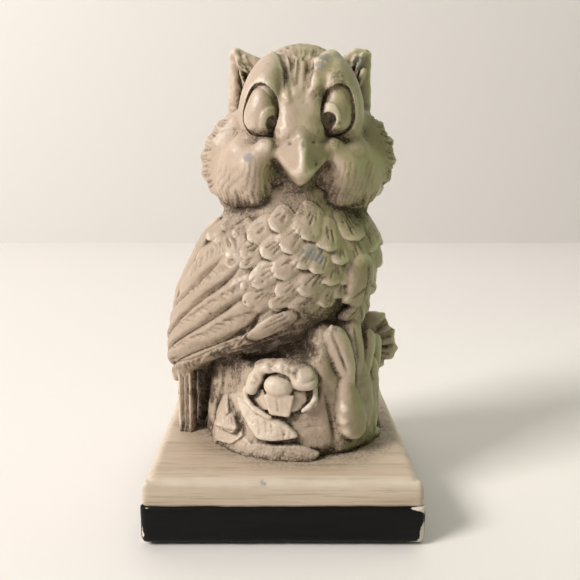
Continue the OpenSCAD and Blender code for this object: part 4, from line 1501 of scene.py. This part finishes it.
def wood_grain_material():
    """The slab: cast with fine grain lines that run left to right, with a thin dark wash of dirt and a painted
    shadow over it.
    """
    material, tree, shader = blank_material("wood_grain_cast")
    broad = noise_node(tree, 14, 3, (2.0, 16, 26))
    lines = noise_node(tree, 42, 5, (0.9, 17, 26))
    pores = noise_node(tree, 150, 2, (0.9, 12, 16))
    mottled = noise_node(tree, 120, 4)
    wash_and_shade = attribute(tree, "wash_and_shade")
    color = mix_color(tree, remap(tree, broad, 0.35, 0.68), GRAIN_PALE, GRAIN_TAN)
    color = mix_color(tree, remap(tree, lines, 0.54, 0.66, 0, 0.6), color, GRAIN_LINE)
    color = mix_color(tree, remap(tree, pores, 0.62, 0.7, 0, 0.35), color, GRAIN_PORE)
    color = mix_color(tree, remap(tree, mottled, 0.55, 0.75, 0, 0.3), color, GRAIN_MOTTLE)
    worn = math_node(tree, "MULTIPLY", attribute(tree, "edge"), remap(tree, mottled, 0.3, 0.6, 0.35, 0.9))
    color = mix_color(tree, worn, color, GRAIN_WORN)
    specks = noise_node(tree, 1500, 3)
    # Dirt and painted shadow, in specks.
    uneven = math_node(tree, "MULTIPLY", wash_and_shade, remap(tree, specks, 0.35, 0.65, 0.3, 1.6), True)
    color = mix_color(tree, uneven, color, UMBER_WASH_AND_SHADE)
    color = mix_color(tree, attribute(tree, "chip"), color, LILAC)
    tree.links.new(color, shader.inputs["Base Color"])
    tree.links.new(remap(tree, lines, 0.4, 0.7, 0.42, 0.6), shader.inputs["Roughness"])
    add_bump(tree, shader, lines, 0.35, 0.0004, invert=True)
    return material


def black_material():
    """Satin black paint, brushed on, chipped to off-white along its edges."""
    material, tree, shader = blank_material("black_paint")
    streaks = noise_node(tree, 60, 4, (1, 4, 8))
    chips = noise_node(tree, 420, 5)
    bare = remap(tree, math_node(tree, "ADD", attribute(tree, "edge"), chips), 1.09, 1.13)
    color = mix_color(tree, remap(tree, streaks, 0.35, 0.7), BLACK, BRUSHED_BLACK)
    color = mix_color(tree, bare, color, BARE)
    tree.links.new(color, shader.inputs["Base Color"])
    tree.links.new(remap(tree, streaks, 0.3, 0.7, 0.42, 0.6), shader.inputs["Roughness"])
    shader.inputs["Specular IOR Level"].default_value = 0.16
    height = math_node(tree, "SUBTRACT", streaks, math_node(tree, "MULTIPLY", bare, 2.0))
    add_bump(tree, shader, height, 0.4, 0.0002)
    return material


def felt_material():
    """Green felt with short, rough fibres."""
    material, tree, shader = blank_material("felt")
    fibres = noise_node(tree, 2600, 4)
    color = mix_color(tree, remap(tree, fibres, 0.35, 0.65), FELT_DARK, FELT_LIGHT)
    tree.links.new(color, shader.inputs["Base Color"])
    shader.inputs["Roughness"].default_value = 0.95
    shader.inputs["Sheen Weight"].default_value = 0.4
    add_bump(tree, shader, fibres, 0.8, 0.0002)
    return material


def steel_material():
    """Steel with a slightly uneven shine."""
    material, tree, shader = blank_material("screw_steel")
    uneven = noise_node(tree, 900, 3, (1, 1, 0.1))
    shader.inputs["Base Color"].default_value = STEEL
    shader.inputs["Metallic"].default_value = 1.0
    tree.links.new(remap(tree, uneven, 0.3, 0.7, 0.25, 0.45), shader.inputs["Roughness"])
    return material


# ---------------------------------------------------------------- Blender objects
def add_object(name, points_mm, faces, material, values):
    """Makes a mesh piece that stands for the CAD node of its name; values are named numbers for its points."""
    faces = np.asarray(faces)
    mesh = bpy.data.meshes.new(name)
    mesh.vertices.add(len(points_mm))
    mesh.vertices.foreach_set("co", (np.asarray(points_mm) * MM).astype(np.float32).ravel())
    mesh.loops.add(faces.size)
    mesh.loops.foreach_set("vertex_index", faces.ravel().astype(np.int32))
    mesh.polygons.add(len(faces))
    mesh.polygons.foreach_set("loop_start", np.arange(0, faces.size, faces.shape[1], dtype=np.int32))
    mesh.update(calc_edges=True)
    mesh.validate()
    for key, numbers in values.items():
        layer = mesh.attributes.new(key, "FLOAT", "POINT")
        layer.data.foreach_set("value", np.broadcast_to(np.float32(numbers), len(points_mm)))
    mesh.polygons.foreach_set("use_smooth", np.full(len(faces), True))
    mesh.materials.append(material)
    piece = bpy.data.objects.new(name + "_piece", mesh)
    bpy.context.scene.collection.objects.link(piece)
    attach(piece, "root")
    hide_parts(name)


# Chips of grey-lilac filler: place and radius.
CHIPS = (((4.6, -22.6, 99.8), 1.5), ((-8.6, -17.2, 95.8), 1.15), ((7.4, -20.6, 72.5), 2.2),
         ((9.6, -20.0, 71.0), 1.6), ((20.9, -0.5, 120.8), 1.8), ((10.2, -12.0, 120.4), 1.9),
         ((9.0, -13.8, 118.0), 1.1), ((-18, -15, 64), 0.6))
# How far each piece's cream goes towards the dull tone, from 0 to 1.
TONES = {"head": 0.1, "beak": 0.9, "right_eye": 0.0, "left_eye": 0.1, "rose_bud": 0.0, "rose_petals": 0.1,
         "rose_leaf": 0.0, "foot_leaves": 0.1, "breast_feathers": 0.15, "right_wing": 0.75, "body": 0.9,
         "right_ruff": 0.3, "right_ear_tuft": 0.3}
OTHER_TONE = 0.5                                 # of the cast pieces that TONES leaves out
# How much more each piece was rubbed pale.
RUBBED = {"rose_leaf": 0.75, "rose_bud": 0.45, "rose_petals": 0.6, "foot_leaves": 0.3,
          "breast_feathers": 0.2, "leaf_spray": 0.2}
# How much of the wash and painted shade stays on the pieces that were wiped, and the most of it on the face
# and elsewhere.
CLEANED = {"foot_leaves": 0.6, "rose_leaf": 0.75, "rose_petals": 0.85, "right_ear_tuft": 0.8,
           "left_ear_tuft": 0.8}
FACE_WASH_AND_SHADE_LIMIT, WASH_AND_SHADE_LIMIT = 0.78, 1.1
# Places where more of the brown wash settled, and where shade is painted into the recesses under the body and
# the beak, between the tail and the stump and by the hanging leaf: place, radius and strength.
WASH_AND_SHADE_SPOTS = (((-14, -14, 37.0), 6.0, 0.6), ((-17.5, -13, 38), 5.0, 0.8), ((-14.0, -15, 41.0), 6.5, 1.0),
         ((-8, -17, 45.5), 6.0, 0.7), ((2.5, -17, 46), 6.5, 0.9), ((9.5, -17, 45), 4.5, 0.45),
         ((7.6, -20, 38), 2.4, 0.4), ((-20.4, -3, 31), 6.5, 1.2), ((-20, -3, 40), 6.5, 1.2),
         ((-20.8, -2, 22), 5.5, 1.2), ((14, -17, 56), 5.5, 0.5), ((4.2, -13, 86), 6.5, 0.4),
         ((-13, -12, 79.5), 7.0, 0.35), ((20, -10, 81), 6.0, 0.35), ((4.8, -26, 89.2), 2.2, 0.35),
         ((8.0, -21, 93), 3.5, 0.25), ((-5.5, -19, 101), 3.2, 0.3), ((12.8, -18, 101), 3.2, 0.3),
         ((9.4, -16, 111), 2.8, 0.45), ((14, -16, 115), 3.4, 0.4), ((8.2, -13.5, 117), 2.4, 0.25),
         ((-13, -18, 27), 3.6, 0.25), ((0, -22, 17), 12, 0.2), ((14.5, -17, 55), 5.0, 0.6),
         ((-10, -18, 72), 4.0, 0.2), ((19, -14, 66), 5.0, 0.3), ((6, -19.5, 51.5), 8.0, 0.7))


def wash_and_shade_spot_values(points):
    total = np.zeros(len(points))
    ragged = 0.3 * noise(points, 2.0, 14)
    for place, radius, strength in WASH_AND_SHADE_SPOTS:
        d = np.linalg.norm(points - np.array(place), axis=1) / radius + ragged
        total = np.maximum(total, strength * (1 - step_up(d, 0.4, 1.15)))
    return total


def chip_values(points):
    total = np.zeros(len(points))
    ragged = noise(points, 0.9, 11) * 0.55 + noise(points, 0.4, 12) * 0.3
    for place, radius in CHIPS:
        d = np.linalg.norm(points - np.array(place), axis=1) / radius + ragged
        total = np.maximum(total, 1 - step_up(d, 0.85, 1.05))
    return total


def painted_green_shade_values(normals, points):
    """How much painted green shade each point gets: most at the right of what faces forward, a quarter of that
    on what doesn't.
    """
    turned_right = normals[:, 0] + 0.02 * (points[:, 0] - 4) + 0.008 * (points[:, 2] - 60)
    low_cheek = np.exp(-((points[:, 2] - 90) / 9) ** 2) * step_up(points[:, 0], 12, 26)
    turned_right = turned_right + 0.25 * low_cheek
    forward = 1 - 0.75 * step_up(normals[:, 1], -0.45, 0.0)
    return step_up(turned_right, 0.05, 0.7) * forward


def add_cast_pieces():
    """The sculpted pieces, with the brown wash and painted shade in what is enclosed, and paler edges that are
    rubbed wear and painted highlight.
    """
    material = cast_material()
    for name, piece in pieces.items():
        tight, middle, wide = piece.closed
        points = piece.points + piece.normals * piece.height[:, None]
        # Darker the more enclosed: brown wash in the fine grooves, and painted shade in the wider and deeper
        # recesses.
        crevice = step_up(tight, 0.31, 0.52)
        pocket = step_up(middle, 0.27, 0.50)
        cave = step_up(wide, 0.25, 0.50)
        wash_and_shade = crevice * 0.5 + pocket * 0.4 + cave * 0.45 + piece.groove * 0.7 + wash_and_shade_spot_values(points)
        limit = FACE_WASH_AND_SHADE_LIMIT if name == "head" or "eye" in name else WASH_AND_SHADE_LIMIT
        wash_and_shade = np.clip(wash_and_shade * CLEANED.get(name, 1), 0, limit)
        # Paler convex edges: rubbed wear and painted highlight.
        edge = np.clip(step_up(0.275 - tight, 0, 0.08) + 0.6 * step_up(0.21 - middle, 0, 0.08), 0, 1)
        edge = np.clip(edge + RUBBED.get(name, 0), 0, 1) * (1 - np.clip(piece.groove * 1.5, 0, 1))
        add_object(name, points, piece.faces, material,
                   {"wash_and_shade": wash_and_shade, "edge": edge, "chip": chip_values(points),
                    "tone": TONES.get(name, OTHER_TONE), "painted_green_shade": painted_green_shade_values(piece.normals, points)})


def box_shell(low, high, spacing):
    """A box's points and four-sided faces, as a fine shell."""
    counts = [max(2, int(round((high[k] - low[k]) / spacing))) for k in range(3)]
    number, points, faces = {}, [], []

    def index(*cell):
        if cell not in number:
            number[cell] = len(points)
            points.append(low + (high - low) * np.array([cell[k] / counts[k] for k in range(3)]))
        return number[cell]
    for axis in range(3):
        u, v = (axis + 1) % 3, (axis + 2) % 3
        for end in (0, counts[axis]):
            for a in range(counts[u]):
                for b in range(counts[v]):
                    ring = []
                    for da, db in ((0, 0), (1, 0), (1, 1), (0, 1)):
                        cell = [0, 0, 0]
                        cell[axis], cell[u], cell[v] = end, a + da, b + db
                        ring.append(index(*cell))
                    faces.append(ring if end else ring[::-1])
    return np.array(points), np.array(faces)


def rounded_box(low, high, top, corner, spacing, bottom=0.0):
    """A box whose upper edges, upright corners and lower edges have the radii top, corner and bottom."""
    points, faces = box_shell(low, high, spacing)
    # First the corners in plan, then the upper and the lower edges.
    core = np.clip(points, low + [corner, corner, bottom], high - [corner, corner, top])
    flat = points[:, :2] - core[:, :2]
    far = np.linalg.norm(flat, axis=1)
    scale = np.where(far > corner, corner / np.maximum(far, 1e-9), 1.0)
    points[:, :2] = core[:, :2] + flat * scale[:, None]
    for radius, rising in ((top, True), (bottom, False)):
        if not radius:
            continue
        rise = points[:, 2] - (high[2] - radius) if rising else (low[2] + radius) - points[:, 2]
        middle = np.clip(points[:, :2], low[:2] + radius, high[:2] - radius)
        away = points[:, :2] - middle
        far = np.linalg.norm(away, axis=1)
        touched = (rise > 0) & (far > 0)
        size = np.hypot(far, np.maximum(rise, 0))
        reach = np.maximum(far, np.maximum(rise, 0))
        factor = np.where(touched, reach / np.maximum(size, 1e-9), 1.0)
        points[:, :2] = np.where(touched[:, None], middle + away * factor[:, None], points[:, :2])
        lifted = rise * factor
        new_z = high[2] - radius + lifted if rising else low[2] + radius - lifted
        points[:, 2] = np.where(touched, new_z, points[:, 2])
    return points, faces


# Chips along the slab's upper front edge: x and radius.
SLAB_CHIPS = ((-5.2, 1.2), (2.6, 0.8), (-21, 0.5), (8.6, 0.6), (13.4, 0.7), (20.2, 0.5), (-12, 0.5))
# Larger chips on the block's upright edges: which edge, how far up it, and the chip's size.
BLOCK_CHIPS = ((-1, -1, 0.84, 1.5), (-1, -1, 0.3, 1.4), (1, -1, 0.22, 2.6), (1, -1, 0.9, 1.1),
               (1, 1, 0.5, 1.8), (-1, 1, 0.2, 2.0), (-1, 1, 0.95, 1.4))


def add_slab(spacing):
    """The wood-grained slab: shallow grain, dirt round the stump's foot, a painted shadow at the stump's
    right, a worn bevel and chips.
    """
    low, high = node_box("plinth_slab")
    points, faces = rounded_box(low, high, 3.8, 1.4, spacing)
    grain = noise(points * [0.05, 1.0, 1.6], 0.9, 21) * 0.05
    grain = grain + noise(points * [0.03, 0.5, 0.8], 1.2, 22) * 0.07
    grain = grain + 0.10 * noise(points, 5.0, 25)
    out = (points - (low + high) / 2) / ((high - low) / 2)
    facing = np.where(np.abs(out) > 0.985, np.sign(out), 0)
    points = points - facing * np.clip(grain + 0.08, 0, 1)[:, None]
    on_top = points[:, 2] > TOP_Z - 0.6
    ring = np.hypot(points[:, 0] - AXIS_X, points[:, 1] - AXIS_Y)
    ring = ring + 1.2 * noise(points, 2.2, 23)
    dirt_and_shadow = (0.7 - 0.45 * step_up(ring, 25, 27) - 0.25 * step_up(ring, 27, 34)) * on_top
    by_tail = np.hypot((points[:, 0] + 25) / 1.4, points[:, 1])
    dirt_and_shadow = np.maximum(dirt_and_shadow, (1 - step_up(by_tail, 3, 6)) * 0.6 * on_top)
    # Painted shadow of the stump on the slab's top, towards its right.
    painted_shadow = (1 - step_up(ring, 25, 36)) * step_up(points[:, 0], 8, 22) * on_top
    dirt_and_shadow = np.maximum(dirt_and_shadow, 0.45 * painted_shadow)
    rim = np.clip(np.max(np.abs(out[:, :2]), axis=1), 0, 1)
    bevel = np.exp(-((points[:, 2] - high[2] + 1.2) / 1.1) ** 2) * step_up(rim, 0.9, 0.94)
    chips = np.zeros(len(points))
    for x, radius in SLAB_CHIPS:
        d = np.linalg.norm(points - np.array([x, low[1] + 0.4, high[2] - 0.5]), axis=1) / radius
        chips = np.maximum(chips, 1 - step_up(d + 0.5 * noise(points, 0.7, 13), 0.8, 1.1))
    add_object("plinth_slab", points, faces, wood_grain_material(),
               {"wash_and_shade": dirt_and_shadow, "chip": chips, "edge": bevel})


def add_block(spacing):
    """The black block, slightly uneven, its paint worn along the edges and corners."""
    low, high = node_box("plinth_block")
    points, faces = rounded_box(low, high, 0.5, 1.9, spacing, 1.6)
    middle, half = (low + high) / 2, (high - low) / 2
    out = np.abs(points - middle) / half
    near = np.sort(np.abs(np.abs(points - middle) - half), axis=1)
    rim = np.exp(-near[:, 1] / 0.8)
    low_down = np.exp(-(points[:, 2] - low[2]) / 1.2)
    corner = np.exp(-near[:, 1] / 1.5) * (np.minimum(out[:, 0], out[:, 1]) > 0.9)
    patchy = np.clip(noise(points, 5.0, 33) + 0.35, 0, 1)
    wear = np.clip((0.5 * rim + 0.5 * corner) * (0.6 + 0.5 * patchy) + 0.22 * low_down, 0, 1)
    for x, y, up, radius in BLOCK_CHIPS:
        edge_x, edge_y = low[0] if x < 0 else high[0], low[1] if y < 0 else high[1]
        place = np.array([edge_x, edge_y, low[2] + up * (high[2] - low[2])])
        wear = wear + 0.3 * np.exp(-(np.linalg.norm(points - place, axis=1) / radius) ** 2)
    inward = middle - points
    inward = inward / np.linalg.norm(inward, axis=1, keepdims=True)
    uneven = 0.10 * noise(points, 6.0, 31) + 0.10 + 0.3 * rim * np.clip(noise(points, 1.8, 32) + 0.2, 0, 1)
    points = points + inward * uneven[:, None]
    add_object("plinth_block", points, faces, black_material(), {"edge": wear})


def add_felt():
    low, high = node_box("felt_pad")
    points, faces = rounded_box(low, high, 0.2, 1.2, 1.6)
    add_object("felt_pad", points, faces, felt_material(), {"wash_and_shade": 0.0})


SCREW_SHANK_R = 1.75
SCREW_PITCH = 1.8
SCREW_SIDES = 48
SCREW_SLOT = 1.0                                 # how wide and how deep the slot is


def add_screw():
    """A countersunk wood screw: turned rings, a thread that winds up to a sharp tip, and a slot."""
    low, high = node_box("fixing_screw")
    middle, length = (low + high) / 2, high[2] - low[2]
    head_r = (high[0] - low[0]) / 2
    rows = [(r, 0.0) for r in np.linspace(0.02, head_r, 14)]      # the head's flat face
    for t in np.linspace(0, 1, 140)[1:]:
        z = t * length
        cone = head_r - (z - 0.3)
        tip = (length - z) * 0.5
        rows.append((max(0.02, min(head_r, max(cone, SCREW_SHANK_R), tip)), z))
    angle = np.arange(SCREW_SIDES) * 2 * math.pi / SCREW_SIDES
    points = []
    for r, z in rows:
        threaded = step_up(z, 6, 8) * step_up(length - z, 0, 3)
        ridge = comb(z / SCREW_PITCH - angle / (2 * math.pi), 4) * 0.42 * threaded
        radius = r - 0.35 * threaded * (r > 0.5) + ridge
        x, y = radius * np.cos(angle), radius * np.sin(angle)
        recess = (z == 0) * (np.abs(y) < SCREW_SLOT / 2) * SCREW_SLOT
        points.append(np.stack([middle[0] + x, middle[1] + y, low[2] + z + recess], axis=1))
    faces = []
    for k in range(len(rows) - 1):
        first, above = k * SCREW_SIDES, (k + 1) * SCREW_SIDES
        for i in range(SCREW_SIDES):
            j = (i + 1) % SCREW_SIDES
            faces.append((first + i, first + j, above + j, above + i))
    # The middle of the head's face and the very tip.
    for first, way in ((0, -1), ((len(rows) - 1) * SCREW_SIDES, 1)):
        for i in range(0, SCREW_SIDES - 2, 2):
            faces.append((first, first + i + 1, first + i + 2, first + i + 3)[::way])
    points = np.concatenate(points)
    add_object("fixing_screw", points, faces, steel_material(), {"wash_and_shade": 0.0})


make_camera()
make_stage()
make_light()
sculpt()
measure_enclosure()
carve()
add_cast_pieces()
plinth_spacing = 0.7       # between the slab's and the block's points
add_slab(plinth_spacing)
add_block(plinth_spacing)
add_felt()
add_screw()
